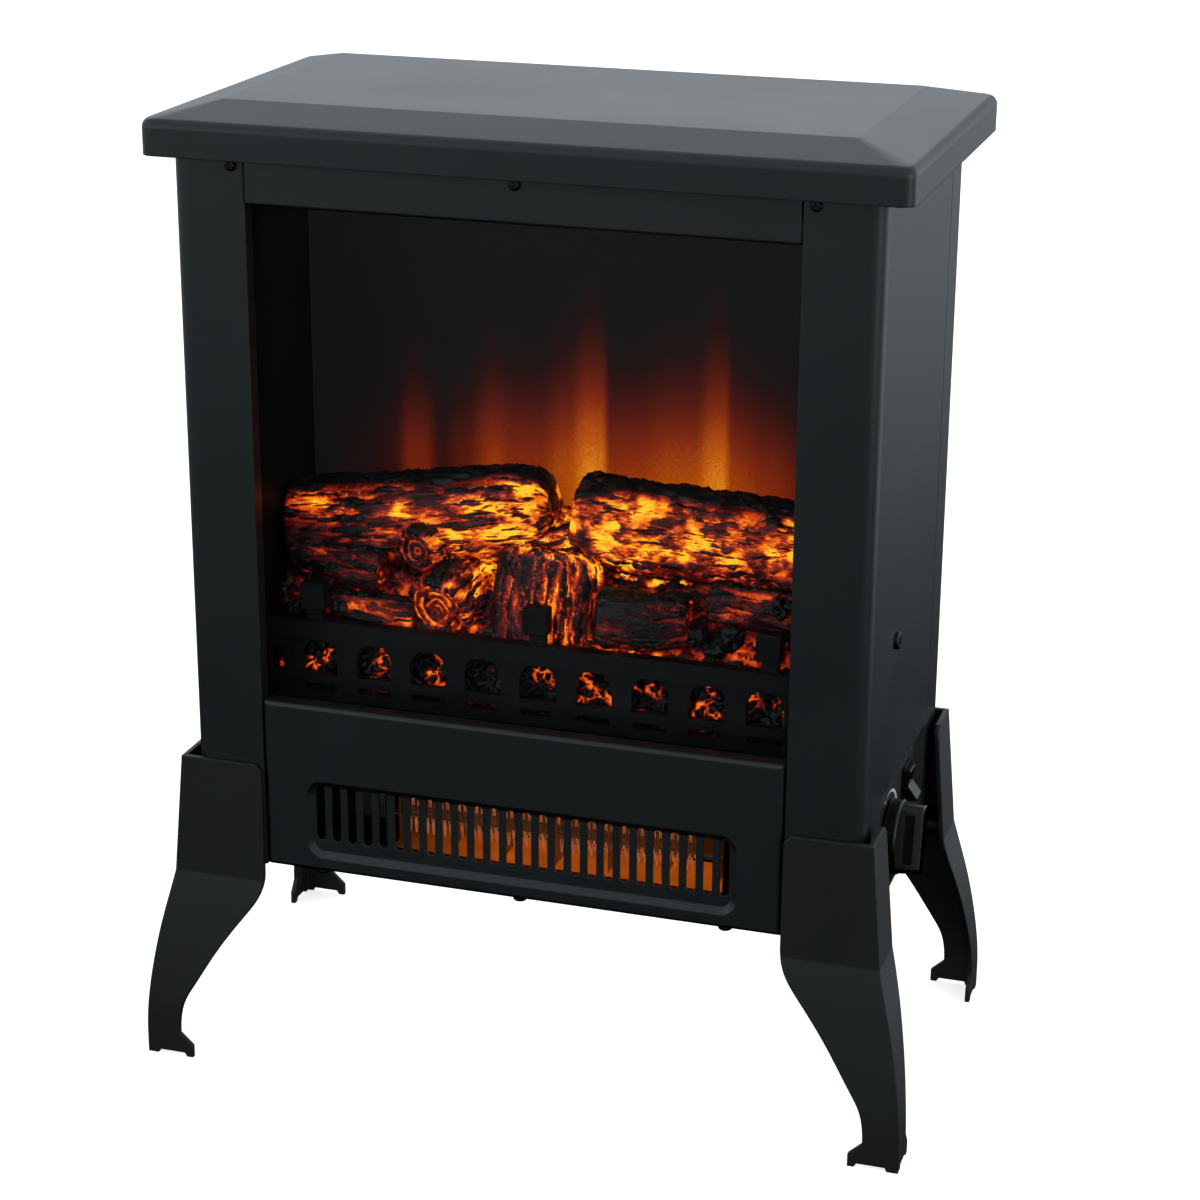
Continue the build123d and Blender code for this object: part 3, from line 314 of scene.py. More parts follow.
# ---------------------------------------------------------------- fan
# Cross-flow wheel on a steel shaft, driven by a shaded-pole motor: laminated iron stack, copper
# winding and die-cast bearing bridges.
wheel_metal = metal("impeller_metal", (0.60, 0.61, 0.62), 0.3, streaks=(30, 900, 900))
finish_nodes(wheel_metal, "fan_impeller")
bright_steel = metal("bright_steel", (0.62, 0.62, 0.62), 0.22, streaks=(1600, 60, 60))
finish_nodes(bright_steel, "fan_shaft", "fan_rotor", "flame_spindle", "thermostat_shaft")
laminations = metal("laminations", (0.23, 0.24, 0.26), 0.45, streaks=(1700, 8, 8), depth=0.0001)
finish_nodes(laminations, "motor_stack")
winding = metal("copper_winding", (0.75, 0.30, 0.14), 0.28, streaks=(2200, 30, 30), depth=0.0001)
finish_nodes(winding, "motor_coil")
die_cast = metal("die_cast_alloy", (0.46, 0.46, 0.45), 0.5, crystals=900.0)
finish_nodes(die_cast, "motor_bridges", "thermal_cutout", "thermostat_body")
bronze = metal("sintered_bronze", (0.52, 0.36, 0.18), 0.42, crystals=1800.0)
finish_nodes(bronze, "impeller_bush")


# ---------------------------------------------------------------- heating element
# Crimped resistance wire laced over mica cards, at a dull orange heat. The lowest card's glow is painted
# light, emission for the wires' light on it. Where the wires pass the middle card they show as bare metal.
def glowing(name, colour, roughness, glow, strength):
    """Non-metal given an emission, uneven from place to place; on the mica it is painted light, on the wire
    partly so.
    """
    material, tree, shader = new_material(name)
    shader.inputs["Emission Strength"].default_value = strength
    grain_node = grained(tree, 700.0, 60.0)
    patch = mapped(tree, grain_node.outputs["Patch"], 0.0, 1.0)
    tree.links.new(tinted(tree, patch, tuple(0.8 * c for c in colour), colour), shader.inputs["Base Color"])
    dim_glow = tuple(0.55 * c for c in glow)
    tree.links.new(tinted(tree, patch, dim_glow, glow), shader.inputs["Emission Color"])
    tree.links.new(mapped(tree, grain_node.outputs["Patch"], roughness * 0.9, roughness * 1.1),
                   shader.inputs["Roughness"])
    raised(tree, shader, grain_node.outputs["Height"], 0.00005)
    return material


def place_on_object(tree):
    """X, Y and Z of a place on the object."""
    place = tree.nodes.new("ShaderNodeTexCoord")
    split = tree.nodes.new("ShaderNodeSeparateXYZ")
    tree.links.new(place.outputs["Object"], split.inputs["Vector"])
    return split.outputs


def calculated(tree, operation, first, second=None):
    """One math node; each input is a socket or a number."""
    node = tree.nodes.new("ShaderNodeMath")
    node.operation = operation
    for socket_in, value in zip(node.inputs, (first, second)):
        if value is None:
            continue
        if isinstance(value, (int, float)):
            socket_in.default_value = value
        else:
            tree.links.new(value, socket_in)
    return node.outputs["Value"]


# Painted light: the lowest card glows brightest, and it is painted dimmer towards the motor's end on the
# left.
LOW_CARD_TOP_Z, CARD_Z, BRIGHT_HALF_H = 0.1325, 0.151, 0.0042
DIM_PAINTED_END_X, FULL_PAINTED_FROM_X = -0.075, -0.020
mica = glowing("mica", (0.16, 0.08, 0.03), 0.4, (0.38, 0.064, 0.003), 1.0)
tree = mica.node_tree
spot_on = place_on_object(tree)
lowest_card = mapped(tree, spot_on["Z"], 1.0, 0.1, LOW_CARD_TOP_Z, LOW_CARD_TOP_Z + 0.002)
mica_painted_light_fade = mapped(tree, spot_on["X"], 0.12, 1.0, DIM_PAINTED_END_X, FULL_PAINTED_FROM_X)
# painted light on the mica: brighter on the lowest card and towards the right
tree.links.new(calculated(tree, "MULTIPLY", lowest_card, mica_painted_light_fade),
               tree.nodes["Principled BSDF"].inputs["Emission Strength"])
finish_nodes(mica, "element_frame")

hot_wire = glowing("resistance_wire", (0.62, 0.56, 0.50), 0.25, (0.60, 0.15, 0.04), 0.5)
tree = hot_wire.node_tree
shader = tree.nodes["Principled BSDF"]
shader.inputs["Metallic"].default_value = 0.85
above_card = calculated(tree, "SUBTRACT", place_on_object(tree)["Z"], CARD_Z + 0.001)
near_card = calculated(tree, "LESS_THAN", calculated(tree, "ABSOLUTE", above_card), BRIGHT_HALF_H)
# Painted light in part: besides their own dull heat, the wires' orange emission stands in for the lit card's
# orange reflected in them. Near the middle card it is turned down, so they show as bare metal.
tree.links.new(mapped(tree, near_card, 0.5, 0.04, 0.0, 1.0), shader.inputs["Emission Strength"])

low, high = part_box("heating_wires")
WIRE_R, WIRE_ROWS, LEG_PITCH, END_GAP, ROW_INSET = 0.00030, 3, 0.00165, 0.010, 0.0004
TIERS = ((CARD_Z - 0.0110, CARD_Z + 0.0105), (CARD_Z + 0.0120, high.z - ROW_INSET))
line = bpy.data.curves.new("crimped_wires", "CURVE")
line.dimensions = "3D"
line.bevel_depth = WIRE_R
line.bevel_resolution = 2
line.resolution_u = 3
for row in range(WIRE_ROWS):
    y = low.y + ROW_INSET + row * (high.y - low.y - 2 * ROW_INSET) / (WIRE_ROWS - 1)
    for foot, top in TIERS:
        turns = []
        for leg in range(int((high.x - low.x - END_GAP) / LEG_PITCH)):
            x = low.x + 0.001 + leg * LEG_PITCH
            ends = (foot, top) if leg % 2 == 0 else (top, foot)
            turns += [(x - 0.25 * LEG_PITCH, y, ends[0]), (x + 0.25 * LEG_PITCH, y, ends[1])]
        spline = line.splines.new("NURBS")
        spline.points.add(len(turns) - 1)
        for point, place_at in zip(spline.points, turns):
            point.co = (*place_at, 1)
        spline.order_u = 3
        spline.use_endpoint_u = True
wires = bpy.data.objects.new("crimped_wires", line)
bpy.context.collection.objects.link(wires)
bpy.ops.object.select_all(action="DESELECT")
bpy.context.view_layer.objects.active = wires
wires.select_set(True)
bpy.ops.object.convert(target="MESH")
wires.data.materials.append(hot_wire)
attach(wires, "stove_body")
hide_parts("heating_wires")

# ---------------------------------------------------------------- flame effect
# A slow spindle of bright foils over a strip of amber emitters; their light on the screen is painted
# on it as emission. A second strip lies under the hearth; its light on coals and logs is painted too.
foil = metal("bright_foil", (0.85, 0.85, 0.84), 0.14, streaks=(300, 40, 40))
finish_nodes(foil, "flame_foils")
nylon = coated("nylon", (0.62, 0.60, 0.54), (0.38, 0.46))
finish_nodes(nylon, "spindle_bush")
board = coated("circuit_board", (0.02, 0.13, 0.05), (0.3, 0.4), grain=400.0)
finish_nodes(board, "ember_light_strip", "flame_light_strip")
amber = glowing("amber_emitter", (0.9, 0.6, 0.2), 0.3, (1.0, 0.42, 0.06), 3.0)
finish_nodes(amber, "ember_emitters", "flame_emitters")

# ---------------------------------------------------------------- fire compartment
# Black-painted sheet walls and roof around a gloss ledge. The screen at the back is a smoked panel
# with a fine diffusing grain: soft tongues of painted light, given as emission, rise on it, the brightest
# of them highest, and fade towards the top.
firebox_black = coated("firebox_black", (0.0030, 0.0034, 0.0036), (0.5, 0.6), edge=0.0004, shine=0.12)
finish_nodes(firebox_black, "firebox_wall_left", "firebox_wall_right", "firebox_roof")
hearth_gloss = coated("hearth_gloss", (0.0030, 0.0032, 0.0034), (0.12, 0.2), depth=0.00001, shine=0.25)
finish_nodes(hearth_gloss, "hearth_floor")

def set_stops(ramp, shades):
    """Fills a colour ramp, from the lowest stop to the highest."""
    stops = ramp.color_ramp.elements
    while len(stops) < len(shades):
        stops.new(0.5)
    for stop, (position, colour) in zip(stops, shades):
        stop.position = position
        stop.color = (*colour, 1)


FLAME_ROOT_Z, FLAME_REACH = 0.320, 0.0300
SCREEN_HALF_W = 0.1547
# across the screen in mm, and how bright the painted light is there
TONGUES = ((-155, 0.0), (-120, 0.010), (-106, 0.03), (-98, 0.150), (-90, 0.150), (-80, 0.03),
           (-66, 0.090), (-49, 0.290), (-38, 0.220), (-24, 0.220), (-8, 0.380), (6, 0.70), (12, 0.66),
           (17, 0.260), (33, 0.280), (50, 0.380), (64, 0.400), (74, 0.66), (79, 0.70), (85, 0.330),
           (104, 0.220), (126, 0.09), (155, 0.012))
painted_flame_light, tree, shader = new_material("flame_screen")
spot_on = place_on_object(tree)
across = mapped(tree, spot_on["X"], 0.0, 1.0, -SCREEN_HALF_W, SCREEN_HALF_W)
profile = tree.nodes.new("ShaderNodeValToRGB")
profile.color_ramp.interpolation = "EASE"
set_stops(profile, [(min(max((x_mm * MM / SCREEN_HALF_W + 1) / 2, 0.0), 1.0), (level, level, level))
                    for x_mm, level in TONGUES])
tree.links.new(across, profile.inputs["Fac"])

above_root = calculated(tree, "SUBTRACT", spot_on["Z"], FLAME_ROOT_Z)
rise = calculated(tree, "MULTIPLY", above_root, 1 / FLAME_REACH)
taller = mapped(tree, profile.outputs["Color"], 0.70, 0.95, 0.12, 0.6)
rise = calculated(tree, "DIVIDE", calculated(tree, "MAXIMUM", rise, 0.0), taller)
fall_off = calculated(tree, "MULTIPLY", calculated(tree, "POWER", rise, 1.75), -0.5)
fade = calculated(tree, "EXPONENT", fall_off)
place = tree.nodes.new("ShaderNodeTexCoord")
grain = tree.nodes.new("ShaderNodeTexNoise")
grain.inputs["Scale"].default_value = 900.0
tree.links.new(place.outputs["Object"], grain.inputs["Vector"])
speckle = mapped(tree, grain.outputs["Fac"], 0.86, 1.14)
light = calculated(tree, "MULTIPLY", calculated(tree, "MULTIPLY", profile.outputs["Color"], fade), speckle)
FLAME_COLOURS = ((0.0, (0.0045, 0.0050, 0.0055)), (0.02, (0.020, 0.0040, 0.0035)),
                 (0.1, (0.100, 0.0090, 0.0030)), (0.22, (0.220, 0.022, 0.0030)),
                 (0.5, (0.500, 0.095, 0.0030)), (0.9, (0.90, 0.32, 0.02)))
flame_colour = tree.nodes.new("ShaderNodeValToRGB")
set_stops(flame_colour, FLAME_COLOURS)
tree.links.new(light, flame_colour.inputs["Fac"])
# the flame light on the screen is painted light, given as emission
tree.links.new(flame_colour.outputs["Color"], shader.inputs["Emission Color"])
shader.inputs["Emission Strength"].default_value = 1.0
shader.inputs["Base Color"].default_value = (0.0015, 0.0015, 0.0018, 1)
shader.inputs["Roughness"].default_value = 0.35
shader.inputs["Specular IOR Level"].default_value = 0.1
raised(tree, shader, grain.outputs["Fac"], 0.00002)
finish_nodes(painted_flame_light, "flame_screen")


# ---------------------------------------------------------------- log set
# Hollow logs moulded in translucent resin and painted as charred bark. Light from below shows through
# wherever the char is thin: in the splits, on the flanks and along the logs' undersides; it is painted as
# emission.

# Where the painted firelight shows, seen from the front: across, up, half width and half height in mm, and
# glow
FIRE = ((-22, 329, 17, 5, 0.95), (-30, 318, 26, 6, 1.0), (-26, 304, 24, 6, 1.0), (-52, 292, 8, 14, 1.0),
        (-38, 279, 7, 12, 0.9), (-42, 258, 5, 14, 0.55), (-85, 311, 10, 6, 0.85),
        (-90, 297, 14, 12, 0.55), (-128, 312, 22, 9, 0.62), (-110, 320, 30, 6, 0.62),
        (-70, 305, 50, 16, 0.55), (70, 305, 60, 18, 0.62), (-62, 274, 16, 9, 0.5),
        (-120, 285, 20, 5, 0.4), (-100, 262, 24, 10, 0.5), (-80, 250, 22, 6, 0.45),
        (8, 308, 9, 15, 0.95), (45, 325, 18, 8, 0.85), (36, 310, 18, 8, 1.0), (42, 292, 18, 9, 1.05),
        (72, 310, 22, 12, 0.75), (100, 318, 22, 8, 0.75), (90, 298, 26, 12, 0.72),
        (127, 312, 14, 14, 0.85), (120, 290, 18, 10, 0.5), (60, 285, 18, 6, 0.8), (98, 272, 16, 8, 0.6),
        (46, 250, 24, 5, 0.8), (8, 252, 12, 10, 0.55), (2, 272, 30, 22, 0.5), (112, 256, 14, 6, 0.55),
        (-140, 268, 10, 12, 0.3))
SEED = Vector((17.3, 4.1, 9.7))
noise.seed_set(11)  # noise_vector draws its offsets from this; unset, it takes them from the clock


def painted_glow_at(x, z):
    """How strongly the painted firelight shows at a place, from 0 to a little over 1."""
    total = 0.0
    for cx, cz, half_w, half_h, strength in FIRE:
        reach = ((x - cx) / half_w) ** 2 + ((z - cz) / half_h) ** 2
        if reach < 9.0:
            total = max(total, strength * math.exp(-0.55 * reach))
            total += 0.12 * strength * math.exp(-0.5 * reach)
    return min(total, 1.15)


def ease(value, low, high):
    """Smooth step from 0 to 1 between two limits."""
    t = min(max((value - low) / (high - low), 0.0), 1.0)
    return t * t * (3 - 2 * t)


# Bark lies in torn layers. Each one: where it starts in the noise, its height in mm, and how much
# painted light shows on it.
LAYERS = ((-9.0, -1.5, 1.0), (-0.34, -1.0, 0.70), (-0.21, -0.4, 0.57), (-0.09, 0.1, 0.47),
          (0.04, 0.6, 0.38), (0.20, 1.0, 0.20))
RING_PITCH = 4.2


def bark(place, painted_glow, cell, cell_along, shift=0.0, splits=1.0, ridged=0.17):
    """Layered bark at a place (mm along, and two across): its relief in mm, and how much painted light
    shows.
    """
    spot = Vector((place.x / cell_along, place.y / cell, place.z / cell)) + SEED
    swirl = noise.noise_vector(spot * 0.8) * 0.42 + noise.noise_vector(spot * 2.6) * 0.2
    height = noise.fractal(spot + swirl, 0.6, 2.1, 5) + 0.34 * (0.40 - painted_glow) + shift
    fibre = noise.fractal(Vector((place.x / 9, place.y / 1.1, place.z / 1.1)) + SEED, 0.9, 2.0, 3)
    relief, light = LAYERS[0][1:]
    for (start, level, shine), (_, level_below, shine_below) in zip(LAYERS[1:], LAYERS):
        step = ease(height, start - 0.006, start + 0.006)
        leak = math.exp(-((height - start + 0.016) / 0.012) ** 2)
        lip = math.exp(-((height - start - 0.018) / 0.016) ** 2)
        relief += (level - level_below) * step + 0.3 * lip
        light += (shine - shine_below) * step + 0.22 * leak - 0.22 * lip
    strand = Vector((place.x / 21, place.y / 3.2, place.z / 3.2)) + swirl * 0.55
    ridge_at = noise.fractal(strand, 0.75, 2.0, 3)
    ridge = ease(ridge_at, ridged, ridged + 0.06)
    relief += 0.9 * ridge
    light = light * (1 - 0.86 * ridge) + 0.16 * math.exp(-((ridge_at - ridged + 0.02) / 0.03) ** 2)
    groove = math.exp(-(noise.noise(strand * 1.2 + SEED) / 0.022) ** 2)
    glow = painted_glow * (light + 0.10 * fibre + 0.34 * splits * groove)
    return relief + 0.2 * fibre - 0.5 * groove, glow


def raw_log(name, around, stations, rings):
    """Unit cylinder with a fine net on its side and ringed ends."""
    bpy.ops.object.select_all(action="DESELECT")
    bpy.ops.mesh.primitive_cylinder_add(vertices=around, radius=1.0, depth=1.0)
    piece = bpy.context.object
    piece.name = name
    mesh = piece.data
    bpy.ops.object.mode_set(mode="EDIT")
    bpy.ops.mesh.select_mode(type="EDGE")
    bpy.ops.mesh.select_all(action="DESELECT")
    bpy.ops.object.mode_set(mode="OBJECT")
    for edge in mesh.edges:
        first, second = (mesh.vertices[i].co for i in edge.vertices)
        edge.select = abs(first.z - second.z) > 0.5
    bpy.ops.object.mode_set(mode="EDIT")
    bpy.ops.mesh.subdivide(number_cuts=stations)
    bpy.ops.mesh.select_mode(type="FACE")
    for end in (-1, 1):
        bpy.ops.mesh.select_all(action="DESELECT")
        bpy.ops.object.mode_set(mode="OBJECT")
        for face in mesh.polygons:
            face.select = face.normal.z * end > 0.9
        bpy.ops.object.mode_set(mode="EDIT")
        for ring in range(rings):
            bpy.ops.mesh.inset(thickness=0.96 / rings)
        bpy.ops.mesh.poke()
    bpy.ops.object.mode_set(mode="OBJECT")
    return piece


def add_glow(mesh, values):
    """Stores how much painted light shows at each vertex."""
    attribute = mesh.attributes.new("glow", "FLOAT", "POINT")
    attribute.data.foreach_set("value", values)


def bark_log(name, start, end, radii, net, cell=9.0, cell_along=26.0, crook=2.0, painted_glow_scale=1.0,
             char_top=0.82, rounding=(3.0, 3.0), waist=0.86, rings=0.5, splits=1.0, shift=0.0,
             ridged=0.17):
    """A charred log between two end centres (mm), with split bark and ringed ends."""
    around, stations, ring_count = net
    piece = raw_log(name, around, stations, ring_count)
    start, end = Vector(start), Vector(end)
    length = (end - start).length
    along = (end - start).normalized()
    up = (Vector((0, 0, 1)) - along * along.z).normalized()
    if abs(along.z) > 0.8:
        up = (Vector((0, -1, 0)) - along * -along.y).normalized()
    side = up.cross(along)
    glows = []
    for vertex in piece.data.vertices:
        t = vertex.co.z + 0.5
        rho = math.hypot(vertex.co.x, vertex.co.y)
        angle = math.atan2(vertex.co.y, vertex.co.x)
        angle += 0.45 * math.sin(angle)
        cos_a, sin_a = math.cos(angle), math.sin(angle)
        outward = side * cos_a + up * sin_a
        near_end = max(min(t * length / rounding[0], (1 - t) * length / rounding[1], 1.0), 0.0)
        full_radius = radii[0] + (radii[1] - radii[0]) * t
        radius = full_radius * (waist + (1 - waist) * math.sqrt(1 - (1 - near_end) ** 2))
        on_axis = start.lerp(end, t)
        bend = noise.noise_vector(Vector((t * length / 45, 0, 0)) + SEED + start / 60) * crook
        base = on_axis + outward * radius * rho + bend * (1 - 0.5 * abs(2 * t - 1))
        # painted light: how brightly the glow from below is painted on this part of the log
        painted_glow = max(painted_glow_at(base.x, base.z), 0.28 * ease(base.x, -155, -110)) * painted_glow_scale
        painted_glow *= 1.0 - ease(outward.z, char_top, char_top + 0.18)
        local = Vector((t * length, cos_a * radius * rho, sin_a * radius * rho)) + start * 0.37
        if rho > 0.97 or rings == 0:
            relief, glow = bark(local, painted_glow, cell, cell_along, shift, splits, ridged)
            if rho <= 0.97:
                outward = along * (1 if t > 0.5 else -1)
            point = base + outward * (relief - 1.2 * (1 - near_end))
        else:
            ripple = rho * radius + 1.3 * noise.noise(base / 7)
            ring = 0.5 + 0.5 * math.cos(2 * math.pi * ripple / RING_PITCH)
            rough = noise.fractal(base / 3, 1.0, 2.0, 3)
            depth = 1.3 * (ring - 0.5) + 0.6 * rough - 1.2 * (1 - rho)
            point = base + along * depth * (1 if t > 0.5 else -1)
            line = (1 - ring) ** 4 * ease(noise.noise(base / 8 + SEED), -0.25, 0.15)
            glow = rings * (0.22 + 0.75 * line + 0.3 * rough)
        vertex.co = point * MM
        glows.append(max(glow, 0.0))
    add_glow(piece.data, glows)
    bpy.ops.object.shade_smooth()
    return piece


def build_fire_colour():
    """Colour of the painted light through charred resin, from none to full strength."""
    group = bpy.data.node_groups.new("fire_colour", "ShaderNodeTree")
    socket(group, "Painted glow", "NodeSocketFloat", default=0.0)
    socket(group, "Colour", "NodeSocketColor", "OUTPUT")
    given, out = group.nodes.new("NodeGroupInput"), group.nodes.new("NodeGroupOutput")
    ramp = group.nodes.new("ShaderNodeValToRGB")
    shades = ((0.06, (0, 0, 0)), (0.16, (0.045, 0.0015, 0.0010)), (0.32, (0.24, 0.012, 0.003)),
              (0.50, (0.72, 0.070, 0.004)), (0.70, (1.0, 0.25, 0.006)), (0.95, (1.0, 0.62, 0.020)))
    set_stops(ramp, shades)
    group.links.new(given.outputs["Painted glow"], ramp.inputs["Fac"])
    group.links.new(ramp.outputs["Color"], out.inputs["Colour"])
    return group


fire_colour = build_fire_colour()


def charred(name, char_colour, roughness, fine):
    """Painted char over resin whose light is painted on as emission, led by the glow stored on the mesh."""
    material, tree, shader = new_material(name)
    stored = tree.nodes.new("ShaderNodeAttribute")
    stored.attribute_name = "glow"
    grain_node = grained(tree, fine, 160.0)
    ragged = mapped(tree, grain_node.outputs["Patch"], 0.72, 1.28)
    flecked = mapped(tree, grain_node.outputs["Height"], 0.85, 1.15, 0.35, 0.95)
    painted_glow = calculated(tree, "MULTIPLY", stored.outputs["Fac"], ragged)
    painted_glow = calculated(tree, "MULTIPLY", painted_glow, flecked)
    fire = tree.nodes.new("ShaderNodeGroup")
    fire.node_tree = fire_colour
    tree.links.new(painted_glow, fire.inputs["Painted glow"])
    # the stored glow is painted light, given here as emission
    tree.links.new(fire.outputs["Colour"], shader.inputs["Emission Color"])
    shader.inputs["Emission Strength"].default_value = 1.0
    shader.inputs["Specular IOR Level"].default_value = 0.3
    patch = mapped(tree, grain_node.outputs["Patch"], 0.0, 1.0)
    dark_char = tuple(0.5 * c for c in char_colour)
    tree.links.new(tinted(tree, patch, dark_char, char_colour), shader.inputs["Base Color"])
    uneven = mapped(tree, grain_node.outputs["Patch"], roughness * 1.2, roughness * 0.8)
    tree.links.new(uneven, shader.inputs["Roughness"])
    raised(tree, shader, grain_node.outputs["Height"], 0.0002)
    return material


char = charred("charred_resin", (0.0075, 0.0085, 0.0095), 0.45, 700.0)

LOGS = (
    ("log_rear_left", (-152.5, -27, 291), (-4, -24, 310), (24, 26.5), (240, 300, 6),
     {"rounding": (3.0, 22.0), "waist": 0.62, "rings": 0}),
    ("log_rear_right", (9.5, -24, 309), (152.5, -26, 303), (24.5, 24), (240, 300, 6),
     {"cell": 8.0, "cell_along": 12.0, "ridged": 0.26, "rounding": (5.0, 3.0), "waist": 0.7, "rings": 0}),
    ("log_cross_upper", (-72, -54, 291), (-62, -20, 297), (12.5, 14), (150, 60, 16), {"cell_along": 16.0}),
    ("log_cross_lower", (-59, -59, 261), (-50, -20, 273), (18.5, 19), (180, 70, 18),
     {"cell_along": 16.0, "rings": 0.8}),
    ("log_dark_left", (-146, -44, 282), (-92, -50, 277), (8, 12), (140, 90, 8), {"shift": 0.1}),
    ("log_low_left", (-122, -56, 257), (-74, -52, 254), (5.5, 9), (120, 90, 8), {"painted_glow_scale": 1.2}),
    ("log_gap", (-16, -37, 292), (18, -36, 299), (9, 11), (120, 90, 8), {"painted_glow_scale": 1.2}),
    ("log_front_right", (32, -55, 265), (80, -52, 268), (15, 13.5), (170, 110, 16),
     {"painted_glow_scale": 0.8, "rings": 0.6, "crook": 4, "shift": 0.12}),
    ("log_right_low", (88, -42, 277), (150, -42, 273), (11, 13), (150, 110, 8), {}),
)
for log_name, log_start, log_end, log_radii, log_net, extra in LOGS:
    log = bark_log(log_name, log_start, log_end, log_radii, log_net, **extra)
    log.data.materials.append(char)
    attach(log, "stove_body")

# The split stump stands upright in the middle, its fibres run up and down.
stump = bark_log("log_stump", (-2, -46, 243), (2, -42, 298), (31, 28), (260, 130, 10), cell=4.0,
                 cell_along=36.0, crook=1.5, painted_glow_scale=1.3, char_top=2.0, rounding=(3.0, 9.0), waist=0.7,
                 rings=0, splits=1.6, shift=0.16)
STUMP_Y, STUMP_FLATNESS = -0.046, 0.45
for vertex in stump.data.vertices:
    vertex.co.y = STUMP_Y + (vertex.co.y - STUMP_Y) * STUMP_FLATNESS
stump.data.materials.append(char)
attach(stump, "stove_body")

# Lumps of charcoal lie in front of the right-hand logs and beside the left post: centre and radius
# in mm.
LUMPS = ((84, -55, 262, 6.0), (102, -54, 262, 6.5), (127, -50, 279, 6.0), (-115, -57, 257, 5.5),
         (93, -50, 255, 7.0))
bpy.ops.object.select_all(action="DESELECT")
lumps = []
for x, y, z, radius in LUMPS:
    bpy.ops.mesh.primitive_ico_sphere_add(subdivisions=5, radius=radius, location=(x, y, z))
    lump = bpy.context.object
    bpy.ops.object.transform_apply(location=True)
    for vertex in lump.data.vertices:
        outward = (vertex.co - Vector((x, y, z))).normalized()
        facet = noise.voronoi(vertex.co / 5 + SEED)[0]
        vertex.co += outward * (4.5 * (facet[0] - 0.45) + 0.9 * noise.fractal(vertex.co / 2.4, 0.8, 2.0, 4))
        vertex.co *= MM
    lumps.append(lump)
for lump in lumps:
    lump.select_set(True)
bpy.ops.object.join()
charcoal = bpy.context.object
charcoal.name = "charcoal_lumps"
add_glow(charcoal.data, [0.0] * len(charcoal.data.vertices))
bpy.ops.object.shade_smooth()
charcoal.data.materials.append(char)
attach(charcoal, "stove_body")


# ---------------------------------------------------------------- coal bed
# One moulded sheet of coals fills the space between and under the logs. It falls steeply from the
# back to the grate; where two logs leave a gap it carries painted light, a glow given as emission.
def thicken(sheet, thickness):
    """Gives a moulded sheet its wall, behind the face that shows."""
    solid = sheet.modifiers.new("thickness", "SOLIDIFY")
    solid.thickness = thickness
    solid.offset = -1.0
    bpy.ops.object.modifier_apply(modifier="thickness")
    bpy.ops.object.shade_smooth()


BED_W, BED_FRONT_Y, BED_BACK_Y, BED_LOW_Z, BED_HIGH_Z = 306.0, -59.0, 2.0, 243.0, 306.0
bpy.ops.object.select_all(action="DESELECT")
bpy.ops.mesh.primitive_grid_add(x_subdivisions=340, y_subdivisions=120, size=1.0)
bed = bpy.context.object
bed.name = "coal_bed"
glows = []
for vertex in bed.data.vertices:
    x = vertex.co.x * BED_W
    back = vertex.co.y + 0.5
    y = BED_FRONT_Y + (BED_BACK_Y - BED_FRONT_Y) * back
    z = BED_LOW_Z + (BED_HIGH_Z - BED_LOW_Z) * math.sin(back * math.pi / 2)
    spot = Vector((x, y, z))
    # painted light: the glow painted on the coal bed here
    painted_glow = max(painted_glow_at(x, z), 0.3 * ease(x, -150, -40))
    relief, glow = bark(spot, painted_glow, 8.0, 9.0)
    vertex.co = (spot + Vector((0, -0.62, 0.78)) * (1.6 * relief - 1.5)) * MM
    glows.append(max(glow, 0.0))
add_glow(bed.data, glows)
thicken(bed, 0.002)
bed.data.materials.append(char)
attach(bed, "stove_body")
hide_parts("log_bed")

# ---------------------------------------------------------------- embers
# Coals behind the grate that look loose but are moulded in one strip of translucent resin. The glow of
# the strip under the hearth is painted into the gaps between them as emission; their crowns are painted
# dark.
EMBER_W, EMBER_FRONT_Y, EMBER_LOW_Z, EMBER_HIGH_Z = 305.0, -59.5, 205.0, 244.0
bpy.ops.object.select_all(action="DESELECT")
bpy.ops.mesh.primitive_grid_add(x_subdivisions=380, y_subdivisions=64, size=1.0)
embers = bpy.context.object
embers.name = "embers"
glows = []
for vertex in embers.data.vertices:
    x = vertex.co.x * EMBER_W
    rise_up = vertex.co.y + 0.5
    z = EMBER_LOW_Z + (EMBER_HIGH_Z - EMBER_LOW_Z) * rise_up
    spot = Vector((x, EMBER_FRONT_Y + 2.0 + 6.0 * rise_up, z))
    # painted light: patches of glow, fading out towards the bottom of the strip
    painted_lit = ease(noise.noise(spot / 10.0 + SEED), 0.0, 0.3) * ease(rise_up, 0.0, 0.25)
    cells = spot / 6.0 + SEED + noise.noise_vector(spot / 4.0) * 0.4
    nearest, second = noise.voronoi(cells)[0][:2]
    crown = ease(second - nearest, 0.0, 0.36)
    rough = noise.fractal(spot / 2.4, 0.9, 2.0, 3)
    vertex.co = (spot + Vector((0, -1, 0)) * (3.4 * crown + 0.7 * rough - 0.8)) * MM
    glows.append(max(painted_lit * (0.62 - 0.66 * ease(second - nearest, 0.02, 0.18) + 0.10 * rough), 0.0))
add_glow(embers.data, glows)
thicken(embers, 0.0015)
ember_resin = charred("ember_resin", (0.009, 0.010, 0.0115), 0.38, 900.0)
embers.data.materials.append(ember_resin)
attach(embers, "stove_body")
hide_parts("ember_bed")

# ---------------------------------------------------------------- grate
# Matt black moulding in front of the coals: arched bars, a rail and three square posts in one piece.
# Its surface is rough like cast iron.
grate_black = coated("grate_black", (0.0042, 0.0046, 0.0050), (0.5, 0.58), grain=800.0, depth=0.00006,
                     edge=0.0006, shine=0.2)
finish_nodes(grate_black, "grate_front")

